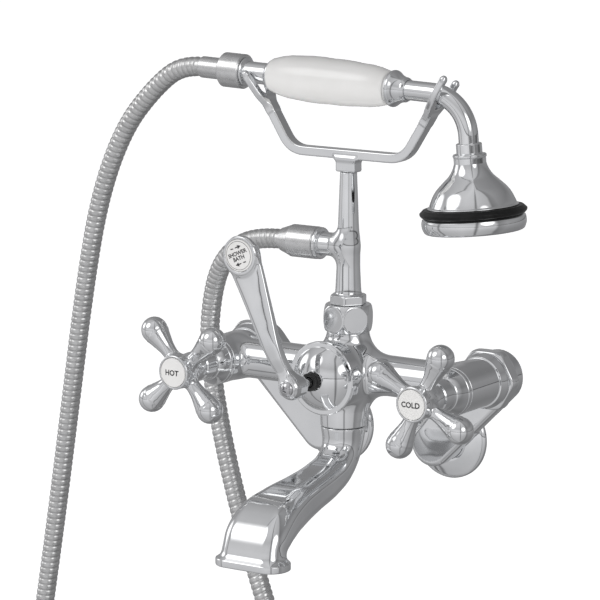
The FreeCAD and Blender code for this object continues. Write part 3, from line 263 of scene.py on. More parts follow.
def softened(profile, soft):
    """Profile corners and arcs as points, with every sharp corner rounded by about soft."""
    points, corner = [], []
    count = len(profile)
    for index, row in enumerate(profile):
        here, after = row[:2], profile[(index + 1) % count][:2]
        points.append(np.array(here, float))
        corner.append(True)
        if len(row) == 3 and row[2]:
            extra = arc(here, after, row[2])
            points.extend(extra)
            corner.extend([False] * len(extra))
    total = len(points)
    made = []
    for index in range(total):
        here = points[index]
        before, after = points[index - 1], points[(index + 1) % total]
        come, go = here - before, after - here
        long_in, long_out = np.hypot(*come), np.hypot(*go)
        on_axis = here[0] < 1e-6
        turn = 0.0
        if long_in > 1e-9 and long_out > 1e-9:
            cosine = np.clip(np.dot(come, go) / long_in / long_out, -1, 1)
            turn = math.acos(cosine)
        if not corner[index] or on_axis or turn < 0.2 or soft <= 0:
            made.append(here)
            continue
        back = min(soft * math.tan(min(turn, 2.4) / 2), 0.45 * long_in, 0.45 * long_out)
        start, end = here - come / long_in * back, here + go / long_out * back
        for step in range(5):
            t = step / 4
            made.append((1 - t) ** 2 * start + 2 * t * (1 - t) * here + t * t * end)
    return made


def lathe(name, profile, origin, aim, soft=0.35, count=112):
    """A closed profile of (radius, height[, arc radius]) turned about an axis."""
    points = softened(profile, soft)
    side, other, axis = (np.array(v, float) for v in (AXES[aim] if isinstance(aim, str) else aim))
    origin = np.array(origin, float)
    angles = 2 * math.pi * np.arange(count) / count
    ring = np.cos(angles)[:, None] * side + np.sin(angles)[:, None] * other
    verts, rows = [], []
    for radius, height in points:
        if radius < 1e-6:
            rows.append([len(verts)])
            verts.append(origin + axis * height)
            continue
        rows.append(list(range(len(verts), len(verts) + count)))
        verts.extend(origin + axis * height + ring * radius)
    faces = []
    total = len(rows)
    for index in range(total):
        low, high = rows[index], rows[(index + 1) % total]
        if len(low) == 1 and len(high) == 1:
            continue
        for step in range(count):
            after = (step + 1) % count
            if len(low) == 1:
                faces.append((low[0], high[step], high[after]))
            elif len(high) == 1:
                faces.append((low[step], high[0], low[after]))
            else:
                faces.append((low[step], high[step], high[after], low[after]))
    return tidy_and_shade(mesh_object(name, np.array(verts) * MM, faces))


def ring_faces(rings, count, closed=True):
    """Quads between rings of count points each, joined from the last ring to the first where closed."""
    faces = []
    for index in range(rings if closed else rings - 1):
        base, after = index * count, (index + 1) % rings * count
        for step in range(count):
            nxt = (step + 1) % count
            faces.append((base + step, base + nxt, after + nxt, after + step))
    return faces


def tidy_and_shade(obj):
    """A clean mesh whose sharp edges stay sharp and whose flats stay flat."""
    tidy_mesh(obj)
    modifier = obj.modifiers.new("normals", "WEIGHTED_NORMAL")
    modifier.keep_sharp = True
    return obj


def tidy_mesh(obj):
    """Merges doubled points and turns every face outwards."""
    work = bmesh.new()
    work.from_mesh(obj.data)
    bmesh.ops.remove_doubles(work, verts=work.verts, dist=2e-6)
    bmesh.ops.dissolve_degenerate(work, edges=work.edges, dist=1e-7)
    bmesh.ops.recalc_face_normals(work, faces=work.faces)
    work.to_mesh(obj.data)
    work.free()


def boolean_cut(obj, cutter):
    modifier = obj.modifiers.new("cut", "BOOLEAN")
    modifier.operation = "DIFFERENCE"
    modifier.solver = "EXACT"
    modifier.object = cutter
    bpy.context.view_layer.update()
    graph = bpy.context.evaluated_depsgraph_get()
    mesh = bpy.data.meshes.new_from_object(obj.evaluated_get(graph))
    obj.modifiers.clear()
    obj.data = mesh
    bpy.data.objects.remove(cutter)


def turned(name, *shape, **options):
    """A turned piece that stands for the CAD node of this name."""
    return finish_piece(lathe(name + "_skin", *shape, **options), name)


# ---------------------------------------------------------------- blended castings

def blend_min(a, b, k):
    """Smooth union: a fillet about k wide where two surfaces meet."""
    h = np.maximum(k - np.abs(a - b), 0.0) / k
    return np.minimum(a, b) - h * h * k / 4


def blend_max(a, b, k):
    return -blend_min(-a, -b, k)


def less(body, *tools, k=0.5):
    for tool in tools:
        body = blend_max(body, -tool, k)
    return body


def along(p, origin, aim):
    """Height along an axis and distance from it."""
    axis = np.array(AXES[aim][2] if isinstance(aim, str) else aim, float)
    offset = p - np.array(origin, float)
    height = offset @ axis
    away = np.sqrt(np.maximum((offset * offset).sum(1) - height * height, 1e-12))
    return height, away


def rod(p, origin, aim, start, end, radius, k=0.8):
    """A cylinder with rounded ends."""
    height, away = along(p, origin, aim)
    return blend_max(away - radius, np.abs(height - (start + end) / 2) - (end - start) / 2, k)


def hermite(t):
    """The four cubic weights at t: start value, start slope, end value, end slope."""
    return 2 * t ** 3 - 3 * t ** 2 + 1, t ** 3 - 2 * t ** 2 + t, -2 * t ** 3 + 3 * t ** 2, t ** 3 - t ** 2


def smooth_curve(knots, step=0.05):
    """A monotone cubic through knots of (position, value), as a dense table."""
    x = np.array([k[0] for k in knots], float)
    y = np.array([k[1] for k in knots], float)
    d = np.diff(y) / np.diff(x)
    m = np.zeros(len(x))
    m[1:-1] = np.where(d[:-1] * d[1:] > 0, 2 * d[:-1] * d[1:] / (d[:-1] + d[1:] + 1e-12), 0.0)
    m[0], m[-1] = d[0], d[-1]
    at = np.arange(x[0], x[-1] + step, step)
    i = np.clip(np.searchsorted(x, at) - 1, 0, len(x) - 2)
    h = x[i + 1] - x[i]
    a, b, c, e = hermite(np.clip((at - x[i]) / h, 0, 1))
    return at, a * y[i] + b * h * m[i] + c * y[i + 1] + e * h * m[i + 1]


def swell(p, origin, aim, knots, k=0.8):
    """A turned form whose radius follows a smooth curve of (height, radius)."""
    height, away = along(p, origin, aim)
    table = smooth_curve(knots)
    radius = np.interp(height, *table)
    slope = np.interp(height, table[0], np.gradient(table[1], table[0]))
    side = (away - radius) / np.sqrt(1 + slope * slope)
    start, end = knots[0][0], knots[-1][0]
    return blend_max(side, np.abs(height - (start + end) / 2) - (end - start) / 2, k)


def ball(p, centre, radius):
    return np.sqrt(((p - np.array(centre, float)) ** 2).sum(1)) - radius


def block(p, centre, size, k=0.8):
    q = np.abs(p - np.array(centre, float)) - np.array(size, float) / 2
    return blend_max(blend_max(q[:, 0], q[:, 1], k), q[:, 2], k)


def hexagon(u, v, corner, turn=0.0, k=0.8):
    """Distance to a hexagon of this corner width, with one corner at the angle turn."""
    flat = corner / 2 * math.cos(math.pi / 6)
    result = None
    for step in range(6):
        angle = turn + math.pi / 6 + step * math.pi / 3
        side = u * math.cos(angle) + v * math.sin(angle) - flat
        result = side if result is None else blend_max(result, side, k)
    return result


def slot_shape(u, v, top, foot, reach):
    """Two circles and their common tangents: the big one at the origin, the small one below it."""
    x, y = np.abs(u), -v
    sine = (top - foot) / reach
    cosine = math.sqrt(1 - sine * sine)
    k = -sine * x + cosine * y
    result = x * cosine + y * sine - top
    result = np.where(k < 0, np.hypot(x, y) - top, result)
    return np.where(k > cosine * reach, np.hypot(x, y - reach) - foot, result)


def slab(shape, w, low, high, bevel=0.0, k=0.6):
    """A flat shape given thickness, with its high edge bevelled."""
    depth = np.abs(w - (low + high) / 2) - (high - low) / 2
    result = blend_max(shape, depth, k)
    if bevel:
        result = blend_max(result, (shape + (w - high) + bevel) * 0.70711, k)
    return result


CORNERS = [(i, j, k) for i in (0, 1) for j in (0, 1) for k in (0, 1)]
CELL_EDGES = [(a, b) for a in range(8) for b in range(a + 1, 8)
              if sum(abs(CORNERS[a][c] - CORNERS[b][c]) for c in range(3)) == 1]


def sampled(field, low, counts, pitch):
    """The field at every grid point, computed in full only near the surface."""
    coarse = 4
    rough_counts = [int(math.ceil(n / coarse)) for n in counts]
    axes = [low[a] + pitch * (coarse * np.arange(rough_counts[a]) + (coarse - 1) / 2) for a in range(3)]
    points = np.stack(np.meshgrid(*axes, indexing="ij"), -1).reshape(-1, 3)
    rough = field(points).reshape(rough_counts)
    for axis in range(3):
        rough = np.repeat(rough, coarse, axis=axis)
    values = rough[:counts[0], :counts[1], :counts[2]].astype(float)
    near = np.argwhere(np.abs(values) < coarse * pitch * 1.6)
    for start in range(0, len(near), 400000):
        part = near[start:start + 400000]
        values[part[:, 0], part[:, 1], part[:, 2]] = field(low + pitch * part)
    return values


def slope_of(field, p, reach):
    slope = np.empty_like(p)
    for axis in range(3):
        step = np.zeros(3)
        step[axis] = reach
        slope[:, axis] = (field(p + step) - field(p - step)) / (2 * reach)
    return slope


def cast(name, field, low, high, pitch):
    """A mesh of the surface where the field is zero, its points and normals taken from the field."""
    low = np.array(low, float) - 2 * pitch
    counts = [int(math.ceil((high[a] + 2 * pitch - low[a]) / pitch)) + 1 for a in range(3)]
    values = sampled(field, low, counts, pitch)
    cells = [n - 1 for n in counts]
    corner_values = [values[i:i + cells[0], j:j + cells[1], k:k + cells[2]] for i, j, k in CORNERS]
    inside = [v < 0 for v in corner_values]
    mixed = np.logical_or.reduce(inside) & ~np.logical_and.reduce(inside)
    where = np.argwhere(mixed)
    number = np.full(cells, -1, int)
    number[mixed] = np.arange(len(where))
    at_corner = np.stack([v[mixed] for v in corner_values], 1)
    total, hits = np.zeros((len(where), 3)), np.zeros(len(where))
    for a, b in CELL_EDGES:
        one, two = at_corner[:, a], at_corner[:, b]
        cross = (one < 0) != (two < 0)
        t = np.where(cross, one / np.where(cross, one - two, 1.0), 0.0)
        spot = np.array(CORNERS[a]) + t[:, None] * (np.array(CORNERS[b]) - np.array(CORNERS[a]))
        total += np.where(cross[:, None], spot, 0.0)
        hits += cross
    points = low + pitch * (where + total / hits[:, None])
    solid = values < 0
    quads = []
    for axis in range(3):
        u, v = (axis + 1) % 3, (axis + 2) % 3
        one = np.take(solid, range(counts[axis] - 1), axis=axis)
        two = np.take(solid, range(1, counts[axis]), axis=axis)
        spots = np.argwhere(one != two)
        spots = spots[((spots[:, [u, v]] > 0) & (spots[:, [u, v]] < [cells[u], cells[v]])).all(1)]
        flip = one[spots[:, 0], spots[:, 1], spots[:, 2]]
        corners = []
        for du, dv in ((-1, -1), (0, -1), (0, 0), (-1, 0)):
            cell = spots.copy()
            cell[:, u] += du
            cell[:, v] += dv
            corners.append(number[cell[:, 0], cell[:, 1], cell[:, 2]])
        quad = np.stack(corners, 1)
        quads.append(np.where(flip[:, None], quad, quad[:, ::-1]))
    quads = np.concatenate(quads)
    points = settled(field, points, quads, pitch)
    obj = mesh_object(name, points * MM, quads.tolist())
    slope = slope_of(field, points, 0.05)
    slope /= np.linalg.norm(slope, axis=1)[:, None]
    obj.data.normals_split_custom_set_from_vertices(slope.tolist())
    return obj


def settled(field, points, quads, pitch):
    """Evens out the points along the surface and puts each exactly on it."""
    neighbours = np.zeros(len(points))
    for a in range(4):
        np.add.at(neighbours, quads[:, a], 2)
    for turn in range(4):
        if turn:
            total = np.zeros_like(points)
            for a in range(4):
                for b in ((a + 1) % 4, (a + 3) % 4):
                    for axis in range(3):
                        total[:, axis] += np.bincount(quads[:, a], points[quads[:, b], axis], len(points))
            points = points + 0.6 * (total / neighbours[:, None] - points)
        for _ in range(2):
            slope = slope_of(field, points, 0.04)
            size = (slope * slope).sum(1)
            move = (field(points) / np.maximum(size, 0.05))[:, None] * slope
            length = np.linalg.norm(move, axis=1)
            points = points - move * np.minimum(1, 0.7 * pitch / np.maximum(length, 1e-9))[:, None]
    return points


def moulded(name, *shape):
    """A blended casting that stands for the CAD node of this name."""
    return finish_piece(cast(name + "_skin", *shape), name)


# ---------------------------------------------------------------- body casting

def casting_field(p):
    column = swell(p, (0, HUB_Y, 0), "+Z", [
        (25, 11.0), (34, 14.6), (47, 15.6), (56, 14.6), (64, 13.4), (70, 13.2), (75, 13.2)], 1.2)
    foot = swell(p, (0, SPOUT_Y, 0), "+Z", [(14.6, 14.7), (20, 14.9), (32, 15.1), (44, 15.6)], 0.8)
    spigot = rod(p, (0, HUB_Y, 0), "+Z", 60, 82, 11.4, 0.6)
    arms = rod(p, (0, HUB_Y, VALVE_Z), "+X", -89, 89, 13.0, 0.6)
    boss = rod(p, (0, 0, VALVE_Z), "-Y", 55, 86, 20.0, 1.6)
    barrels, tails = None, None
    for side in (-1, 1):
        place = (side * VALVE_X, 0, VALVE_Z)
        barrel = rod(p, place, "-Y", 45.2, 78, 15.5, 0.7)
        tail = rod(p, place, "-Y", 33.3, 48, 12.6, 0.6)
        barrels = barrel if barrels is None else np.minimum(barrels, barrel)
        tails = tail if tails is None else np.minimum(tails, tail)
    skin = blend_min(column, arms, 18.0)
    skin = blend_min(blend_min(skin, foot, 7.0), boss, 4.0)
    skin = blend_min(skin, barrels, 5.0)
    skin = np.minimum(np.minimum(skin, spigot), tails)
    bores = [
        rod(p, (0, HUB_Y, VALVE_Z), "+X", -92, 92, 8.0), rod(p, (0, 0, VALVE_Z), "-Y", 47, 90, 11.0),
        rod(p, (0, HUB_Y, 0), "+Z", 49, 90, 7.0), rod(p, (0, SPOUT_Y, 0), "+Z", 5, 25.8, 10.0),
        rod(p, (0, SPOUT_Y, 0), "+Z", 12, 49, 7.0), rod(p, (0, 0, VALVE_Z), "-Y", 81, 90, 17.2),
    ]
    for side in (-1, 1):
        place = (side * VALVE_X, 0, VALVE_Z)
        bores += [rod(p, place, "-Y", 31, 91, 6.5), rod(p, place, "-Y", 50.2, 110, 10.5),
                  rod(p, place, "-Y", 72, 92, 13.05)]
    hollow = bores[0]
    for bore in bores[1:]:
        hollow = np.minimum(hollow, bore)
    return blend_max(skin, -hollow, 0.5)


def barrel_collar(name, side):
    """The bevelled ring and thin groove at the rear of a valve barrel."""
    obj = lathe(name + "_barrel_collar", [
        (12.0, 37.2), (17.2, 37.2), (17.8, 37.8), (17.8, 39.5), (16.2, 44.0), (15.1, 44.3), (15.1, 45.0),
        (15.5, 45.4), (15.5, 47.5), (12.0, 47.5),
    ], (side * VALVE_X, 0, VALVE_Z), "-Y", soft=0.25)
    finish_piece(obj, "body_casting", replaces=False)


moulded("body_casting", casting_field, (-106, -87, 14), (106, -33, 83), 0.85)
barrel_collar("hot", -1)
barrel_collar("cold", 1)


# ---------------------------------------------------------------- valves and handles

def index_button(name, x):
    return lathe(name + "_index_button_face", [
        (0, BUTTON_FACE), (9.5, BUTTON_FACE), (9.5, BUTTON_FACE + 2.0, -1.2),
        (BUTTON_EDGE, BUTTON_LIP, -BUTTON_CAP), (0, BUTTON_LIP + BUTTON_RISE),
    ], (x, 0, VALVE_Z), "-Y", soft=0.0)


def lettering(name, words, height, centre, tilt, crest, cap, body, weight, spacing=1.0):
    """Plain dark letters printed on a domed button that faces -Y.

    centre is the button's middle at the height of its crest, crest its distance from the wall,
    cap the dome's radius, and tilt turns the words clockwise seen from the front.
    """
    data = bpy.data.curves.new(name, "FONT")
    data.body = words
    data.size = 1.0
    data.align_x = "CENTER"
    data.align_y = "CENTER"
    data.resolution_u = 4
    data.offset = weight
    data.space_line = spacing
    text = bpy.data.objects.new(name, data)
    bpy.context.scene.collection.objects.link(text)
    bpy.context.view_layer.update()
    flat = bpy.data.meshes.new_from_object(text.evaluated_get(bpy.context.evaluated_depsgraph_get()))
    bpy.data.objects.remove(text)
    points = np.array([v.co[:2] for v in flat.vertices])
    middle = (points.max(0) + points.min(0)) / 2
    points = (points - middle) * height
    faces = [tuple(f.vertices) for f in flat.polygons]
    return printed(name, points, faces, centre, tilt, crest, cap, body)


def printed(name, points, faces, centre, tilt, crest, cap, body, lift=0.02):
    """Flat shapes laid on a domed button as a thin film of ink."""
    cosine, sine = math.cos(tilt), math.sin(tilt)
    tilted = np.stack([points[:, 0] * cosine + points[:, 1] * sine,
                       -points[:, 0] * sine + points[:, 1] * cosine], 1)
    away = (points ** 2).sum(1)
    depth = crest - away / (2 * cap) + lift
    where = np.stack([centre[0] + tilted[:, 0], -depth, centre[1] + tilted[:, 1]], 1)
    obj = mesh_object(name, where * MM, faces)
    solidify = obj.modifiers.new("film", "SOLIDIFY")
    solidify.thickness = 0.00004
    solidify.offset = 0.0
    obj.data.materials.append(MATERIALS["ink"])
    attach(obj, body)
    return obj


def ring_shape(inner, outer, count=96):
    angles = 2 * math.pi * np.arange(count) / count
    circle = np.stack([np.cos(angles), np.sin(angles)], 1)
    points = np.concatenate([circle * inner, circle * outer])
    faces = [(i, (i + 1) % count, count + (i + 1) % count, count + i) for i in range(count)]
    return points, faces


def handle_field(p):
    """Cross handle about the -Y axis, before it is turned to its resting angle."""
    hub = swell(p, (0, 0, 0), "-Y", [
        (101, 9.6), (103.5, 10.0), (106.5, 9.8), (109, 8.9), (113, 8.3), (117, 8.5), (120, 9.8),
        (121.4, 11.1), (124.6, 11.2), (125.4, 11.0)], 0.9)
    arms = None
    for aim, sign in (("+X", 1), ("+X", -1), ("+Z", 1), ("+Z", -1)):
        axis = np.array(AXES[aim][2], float) * sign
        stalk = swell(p, (0, -115, 0), axis, [
            (0, 6.6), (6, 6.4), (10, 5.2), (13, 4.75), (17, 5.1), (21, 6.0), (25, 7.1), (28.5, 7.9)], 0.8)
        end = ball(p, np.array((0, -115, 0)) + axis * 32.1, 8.6)
        arm = blend_min(stalk, end, 1.4)
        arms = arm if arms is None else np.minimum(arms, arm)
    whole = blend_min(hub, arms, 4.0)
    well = rod(p, (0, 0, 0), "-Y", 123.0, 130, 9.65, 0.3)
    socket = rod(p, (0, 0, 0), "-Y", 95, 116.5, 4.05, 0.3)
    screw = rod(p, (0, 0, 0), "-Y", 110, 122, 2.0, 0.3)
    deep = rod(p, (0, 0, 0), "-Y", 119.4, 130, 5.0, 0.3)
    return less(whole, well, socket, screw, deep, k=0.4)


def valve_front(name, side, turn):
    x = side * VALVE_X
    place = (x, 0, VALVE_Z)
    base, front = 78.0, 100.2
    turned(name + "_bonnet", [
        (11.5, base - 4.4), (13.0, base - 4.4), (13.0, base + 0.05), (15.0, base + 0.05), (15.4, base + 0.5),
        (15.4, base + 2.4, -1.6), (14.8, base + 3.5, -40), (11.0, base + 10.2, 3), (9.9, base + 12.6),
        (9.9, front - 1),
        (9.0, front), (5.0, front), (5.0, base + 4.6), (8.3, base + 4.6), (8.3, base - 2), (11.5, base - 3.5),
    ], place, "-Y")
    grip = cast(name + "_cross_handle_skin", handle_field, (-41, -126, -41), (41, -100, 41), 0.62)
    grip.data.transform(
        Matrix.Translation((x * MM, 0, VALVE_Z * MM)) @ Matrix.Rotation(-math.radians(turn), 4, "Y"))
    finish_piece(grip, name + "_cross_handle")
    finish_piece(index_button(name, x), name + "_index_button")
    lettering(name + "_index_word", name.upper(), 4.8, (x, VALVE_Z), 0.0, BUTTON_LIP + BUTTON_RISE,
              BUTTON_CAP, name + "_handle", 0.028)


valve_front("hot", -1, 42.0)
valve_front("cold", 1, 63.0)


# ---------------------------------------------------------------- wall side

def union_nut_field(p):
    """Hexagon nut about the -Y axis whose six corners are rounded into a wavy outline."""
    depth = -p[:, 1]
    away = np.hypot(p[:, 0], p[:, 2])
    outline = hexagon(p[:, 0], p[:, 2], 43.0, 0.0, 3.0)
    result = blend_max(outline, np.abs(depth - 32.5) - 4.5, 1.0)
    front = (away + (depth - 37.0) * 0.9 - 19.1) * 0.743
    rear = (away - (depth - 28.0) * 1.2 - 19.6) * 0.64
    result = blend_max(blend_max(result, front, 1.4), rear, 1.4)
    bore = rod(p, (0, 0, 0), "-Y", 20, 33, 9.6, 0.3)
    return less(result, bore, rod(p, (0, 0, 0), "-Y", 29.8, 45, 12.65, 0.3))


def swing_arm_field(p):
    """Offset arm in its own frame, hanging straight down from the union axis."""
    reach = ARM_REACH
    depth = -p[:, 1]
    plate = slab(slot_shape(p[:, 0], p[:, 2], 17.0, 14.5, reach), depth, 17.8, 27.8, bevel=2.2, k=0.7)
    foot = rod(p, (0, 0, -reach), "-Y", 0.2, 20, 13.0, 0.5)
    spigot = rod(p, (0, 0, 0), "-Y", 20, 29.9, 9.3, 0.3)
    head = rod(p, (0, 0, 0), "-Y", 29.9, 31.55, 12.2, 0.3)
    whole = np.minimum(np.minimum(plate, foot), np.minimum(spigot, head))
    return less(
        whole, rod(p, (0, 0, 0), "-Y", 19.8, 40, 6.0), rod(p, (0, 0, -reach), "-Y", -2, 15, 9.2),
        rod(p, (0, 0, -reach), "-Y", 10, 24.8, 6.0), rod(p, (0, -22.8, 0), "+Z", -reach, 0, 3.6), k=0.4)


def wall_side(name, side):
    x = side * VALVE_X
    nut = cast(name + "_union_nut_skin", union_nut_field, (-22, -37.5, -22), (22, -27.5, 22), 0.55)
    nut.data.transform(Matrix.Translation((x * MM, 0, VALVE_Z * MM)))
    finish_piece(nut, name + "_union_nut")
    arm = cast(name + "_swing_arm_skin", swing_arm_field, (-17.5, -32, -82), (17.5, 0, 17.5), 0.75)
    tilt = side * math.atan2(ARM_ACROSS, VALVE_Z)
    arm.data.transform(Matrix.Translation((x * MM, 0, VALVE_Z * MM)) @ Matrix.Rotation(tilt, 4, "Y"))
    finish_piece(arm, name + "_swing_arm")
    turned(name + "_wall_flange", [
        (13.1, 0), (26.6, 0), (26.6, 1.8, -5), (23.6, 4.2, -40), (14.8, 7.0), (13.1, 7.0), (13.1, 3.4),
        (16.6, 3.4), (16.6, 0.6), (13.1, 0.6),
    ], (side * INLET_X, 0, 0), "-Y")


wall_side("hot", -1)
wall_side("cold", 1)


# ---------------------------------------------------------------- diverter and lever

LEVER_TILT = math.radians(23.5)
LEVER_REACH = 88.5
LEVER_SPINE = (
    (0.0, 121.3, 5.6, 5.4), (6.0, 122.3, 4.9, 4.6), (12.0, 124.4, 5.0, 4.1), (20.0, 126.9, 5.6, 3.8),
    (30.0, 127.9, 6.6, 3.5), (43.0, 127.3, 8.0, 3.2), (59.0, 126.4, 9.6, 2.9), (72.0, 125.8, 11.0, 2.75),
    (82.0, 125.6, 11.9, 2.7), (92.0, 125.6, 12.1, 2.7),
)


def lever_field(p):
    """Lever standing straight up from the diverter axis, before it leans."""
    up = p[:, 2]
    depth = np.interp(up, *smooth_curve([(row[0], row[1]) for row in LEVER_SPINE]))
    wide = np.interp(up, *smooth_curve([(row[0], row[2]) for row in LEVER_SPINE]))
    thick = np.interp(up, *smooth_curve([(row[0], row[3]) for row in LEVER_SPINE]))
    u, w = p[:, 0] / wide, (-p[:, 1] - depth) / thick
    power = 3.4
    round_ = (np.abs(u) ** power + np.abs(w) ** power + 1e-9) ** (1 / power)
    slope = np.sqrt((u / wide) ** 2 + (w / thick) ** 2 + 1e-9) / np.maximum(round_, 1e-3)
    blade = (round_ - 1) / np.maximum(slope, 0.08)
    blade = blend_max(blade, np.abs(up - 45.0) - 45.0, 1.0)
    boss = swell(p, (0, 0, 0), "-Y", [
        (115.1, 7.3), (116.4, 7.8), (123.5, 7.8), (126, 7.0), (127.5, 5.6), (128.2, 4.2)], 0.7)
    head = swell(p, (0, 0, LEVER_REACH), "-Y", [
        (122.6, 9.6), (123.6, 11.3), (125.2, 12.2), (127.0, 12.35), (128.4, 12.2), (129.0, 11.8)], 0.5)
    whole = blend_min(blend_min(blade, boss, 4.5), head, 3.0)
    return less(
        whole, rod(p, (0, 0, LEVER_REACH), "-Y", 127.2, 133, 10.3, 0.3),
        rod(p, (0, 0, 0), "-Y", 110, 124.2, 3.25, 0.3),
        rod(p, (0, 0, 0), "-Y", 120, 135, 2.0, 0.3), k=0.4)


def screw_field(p):
    """Domed screw head with a cross recess, about the -Y axis."""
    away = np.hypot(p[:, 0], p[:, 2])
    depth = -p[:, 1]
    head = blend_max(ball(p, (0, -125.4, 0), 5.9), 128.0 - depth, 0.3)
    head = blend_max(head, away - 4.9, 0.5)
    shank = rod(p, (0, 0, 0), "-Y", 119, 129, 1.6, 0.2)
    whole = np.minimum(head, shank)
    taper = np.maximum(depth - 130.0, -1.0)
    slot_a = block(p, (0, -131.2, 0), (4.2, 3.4, 1.05), 0.2) - 0.05 * taper
    slot_b = block(p, (0, -131.2, 0), (1.05, 3.4, 4.2), 0.2) - 0.05 * taper
    cross = np.minimum(slot_a, slot_b)
    dish = away - 1.2 - 0.5 * (depth - 130.4)
    cross = blend_min(cross, np.maximum(dish, 129.8 - depth), 0.3)
    return blend_max(whole, -cross, 0.25)


def diverter():
    place = (0, 0, VALVE_Z)
    base, front, dome = 86.0, 89.3, 98.5
    turned("diverter_bonnet", [
        (11.1, base - 4.95), (17.1, base - 4.95), (17.1, base + 0.02), (23.0, base + 0.02),
        (23.7, base + 0.7),
        (23.7, front - 0.7), (23.0, front), (20.4, front), (20.0, front + 0.3, -24), (6.6, dome - 0.3),
        (6.2, dome), (6.2, dome - 4), (4.55, dome - 4), (4.55, base - 1.5), (11.1, base - 1.5),
    ], place, "-Y", soft=0.5, count=160)
    lean = Matrix.Translation((0, 0, VALVE_Z * MM)) @ Matrix.Rotation(-LEVER_TILT, 4, "Y")
    lever = cast("diverter_lever_skin", lever_field, (-13, -132.0, -8.5), (13, -114.5, 101.5), 0.55)
    lever.data.transform(lean)
    finish_piece(lever, "diverter_lever")
    screw = cast("diverter_lever_screw_skin", screw_field, (-5.1, -131.5, -5.1), (5.1, -118.5, 5.1), 0.22)
    screw.data.transform(lean)
    finish_piece(screw, "diverter_lever_screw")
    rise = 0.6
    edge, lip = 9.5, 129.35
    cap = (edge * edge + rise * rise) / (2 * rise)
    middle = lean @ Vector((0, 0, LEVER_REACH * MM))
    centre = (middle.x / MM, middle.z / MM)
    finish_piece(lathe("diverter_label_button_face", [
        (0, 127.25), (10.2, 127.25), (10.2, 128.9, -1), (edge, lip, -cap), (0, lip + rise),
    ], (centre[0], 0, centre[1]), "-Y", soft=0.0), "diverter_label_button")
    crest = lip + rise
    lettering("diverter_label_words", "SHOWER\nBATH", 3.5, centre, -LEVER_TILT, crest, cap, "diverter",
              0.03, 0.92)
    for name, height, way in (("top", 5.2, 1), ("foot", -5.2, -1)):
        outline = np.array([
            (-4.0, -0.35), (1.6, -0.35), (1.6, -1.35), (4.2, 0.0), (1.6, 1.35), (1.6, 0.35), (-4.0, 0.35)])
        outline = outline * np.array((way, way)) + np.array((0, height))
        faces = [(0, 1, 5, 6), (2, 3, 4), (1, 2, 4, 5)]
        printed("diverter_label_arrow_" + name, outline, faces, centre, -LEVER_TILT, crest, cap, "diverter")
    printed("diverter_label_ring", *ring_shape(8.85, 9.1), centre, 0.0, crest, cap, "diverter")


diverter()


# ---------------------------------------------------------------- riser

def riser_nut_field(p):
    """Union nut about the riser axis with large round chamfers at both ends."""
    rise = p[:, 2] - VALVE_Z
    u, v = p[:, 0], p[:, 1] - HUB_Y
    outline = hexagon(u, v, 33.5, -math.radians(69.0), 0.4)
    body = blend_max(outline, np.abs(rise - 34.7) - 8.7, 0.5)
    body = blend_max(body, ball(p, (0, HUB_Y, VALVE_Z + 34.7), 16.85), 0.4)
    place = (0, HUB_Y, VALVE_Z)
    return less(body, rod(p, place, "+Z", 20, 38, 11.55, 0.3), rod(p, place, "+Z", 20, 50, 9.2, 0.3), k=0.4)


def riser_field(p):
    place = (0, HUB_Y, VALVE_Z)
    stem = swell(p, place, "+Z", [
        (49.0, 9.0), (52.0, 8.35), (58.0, 8.0), (70.0, 7.55), (75.0, 7.6), (80.4, 7.9), (86.0, 7.4),
        (92.0, 6.8), (110.0, 6.1), (128.0, 5.4)], 0.6)
    u, v = p[:, 0], p[:, 1] - HUB_Y
    rise = p[:, 2] - VALVE_Z
    collar = blend_max(hexagon(u, v, 24.6, -math.radians(69.0), 0.6), np.abs(rise - 46.5) - 3.0, 0.7)
    crown = (np.hypot(u, v) + 0.9 * (rise - 49.5) - 11.3) * 0.743
    collar = blend_max(collar, crown, 0.4)
    foot = rod(p, place, "+Z", 34.7, 44, 9.0, 0.4)
    flange = rod(p, place, "+Z", 34.7, 37.9, 11.2, 0.4)
    out = (0, HUB_Y, OUTLET_Z)
    branch = swell(p, out, "-X", [
        (0, 8.4), (5, 8.4), (8, 8.0), (12, 7.55), (17, 7.5), (19.7, 7.5)], 0.5)
    ring = swell(p, out, "-X", [(19.7, 9.8), (20.3, 10.3), (21.7, 10.3), (22.3, 9.9)], 0.5)
    nipple = rod(p, out, "-X", 20, 31.8, 7.9, 0.4)
    whole = blend_min(stem, branch, 6.0)
    whole = blend_min(whole, collar, 1.6)
    for part in (foot, flange, ring, nipple):
        whole = np.minimum(whole, part)
    return less(
        whole, rod(p, place, "+Z", 20, 80.4, 4.8), rod(p, out, "-X", 0, 40, 4.6),
        rod(p, place, "+Z", 117, 140, 2.5), k=0.4)


moulded("riser_union_nut", riser_nut_field, (-18, HUB_Y - 18, 74), (18, HUB_Y + 18, 93.5), 0.5)
moulded("riser_tube", riser_field, (-32.5, HUB_Y - 12, 83), (12, HUB_Y + 12, 177.5), 0.6)


def hose_ends():
    """Nuts and sleeve at the two ends of the hose."""
    ring, last, full = 22.3, 50.0, 10.5
    turned("outlet_hose_nut", [
        (7.95, ring + 0.1), (full - 0.5, ring + 0.1), (full, ring + 0.8), (full, last - 8.5),
        (full - 0.8, last - 6.5), (7.4, last), (4.8, last), (4.8, ring + 11.3), (7.95, ring + 11.3),
    ], (0, HUB_Y, OUTLET_Z), "-X")
    start, aim = SLEEVE_END, HANDSET_AIM
    turned("handset_hose_sleeve", [
        (4.6, 0), (6.6, 0), (7.0, 0.4), (7.0, 16.9), (4.6, 16.9),
    ], start, aim)
    left, right, rim = 17.0, 33.5, 11.2
    turned("handset_hose_nut", [
        (5.0, left), (rim - 1.2, left), (rim, left + 1.2), (rim, right - 0.8), (rim - 0.8, right),
        (8.35, right), (8.35, left + 2.6), (5.0, left + 2.6),
    ], start, aim)


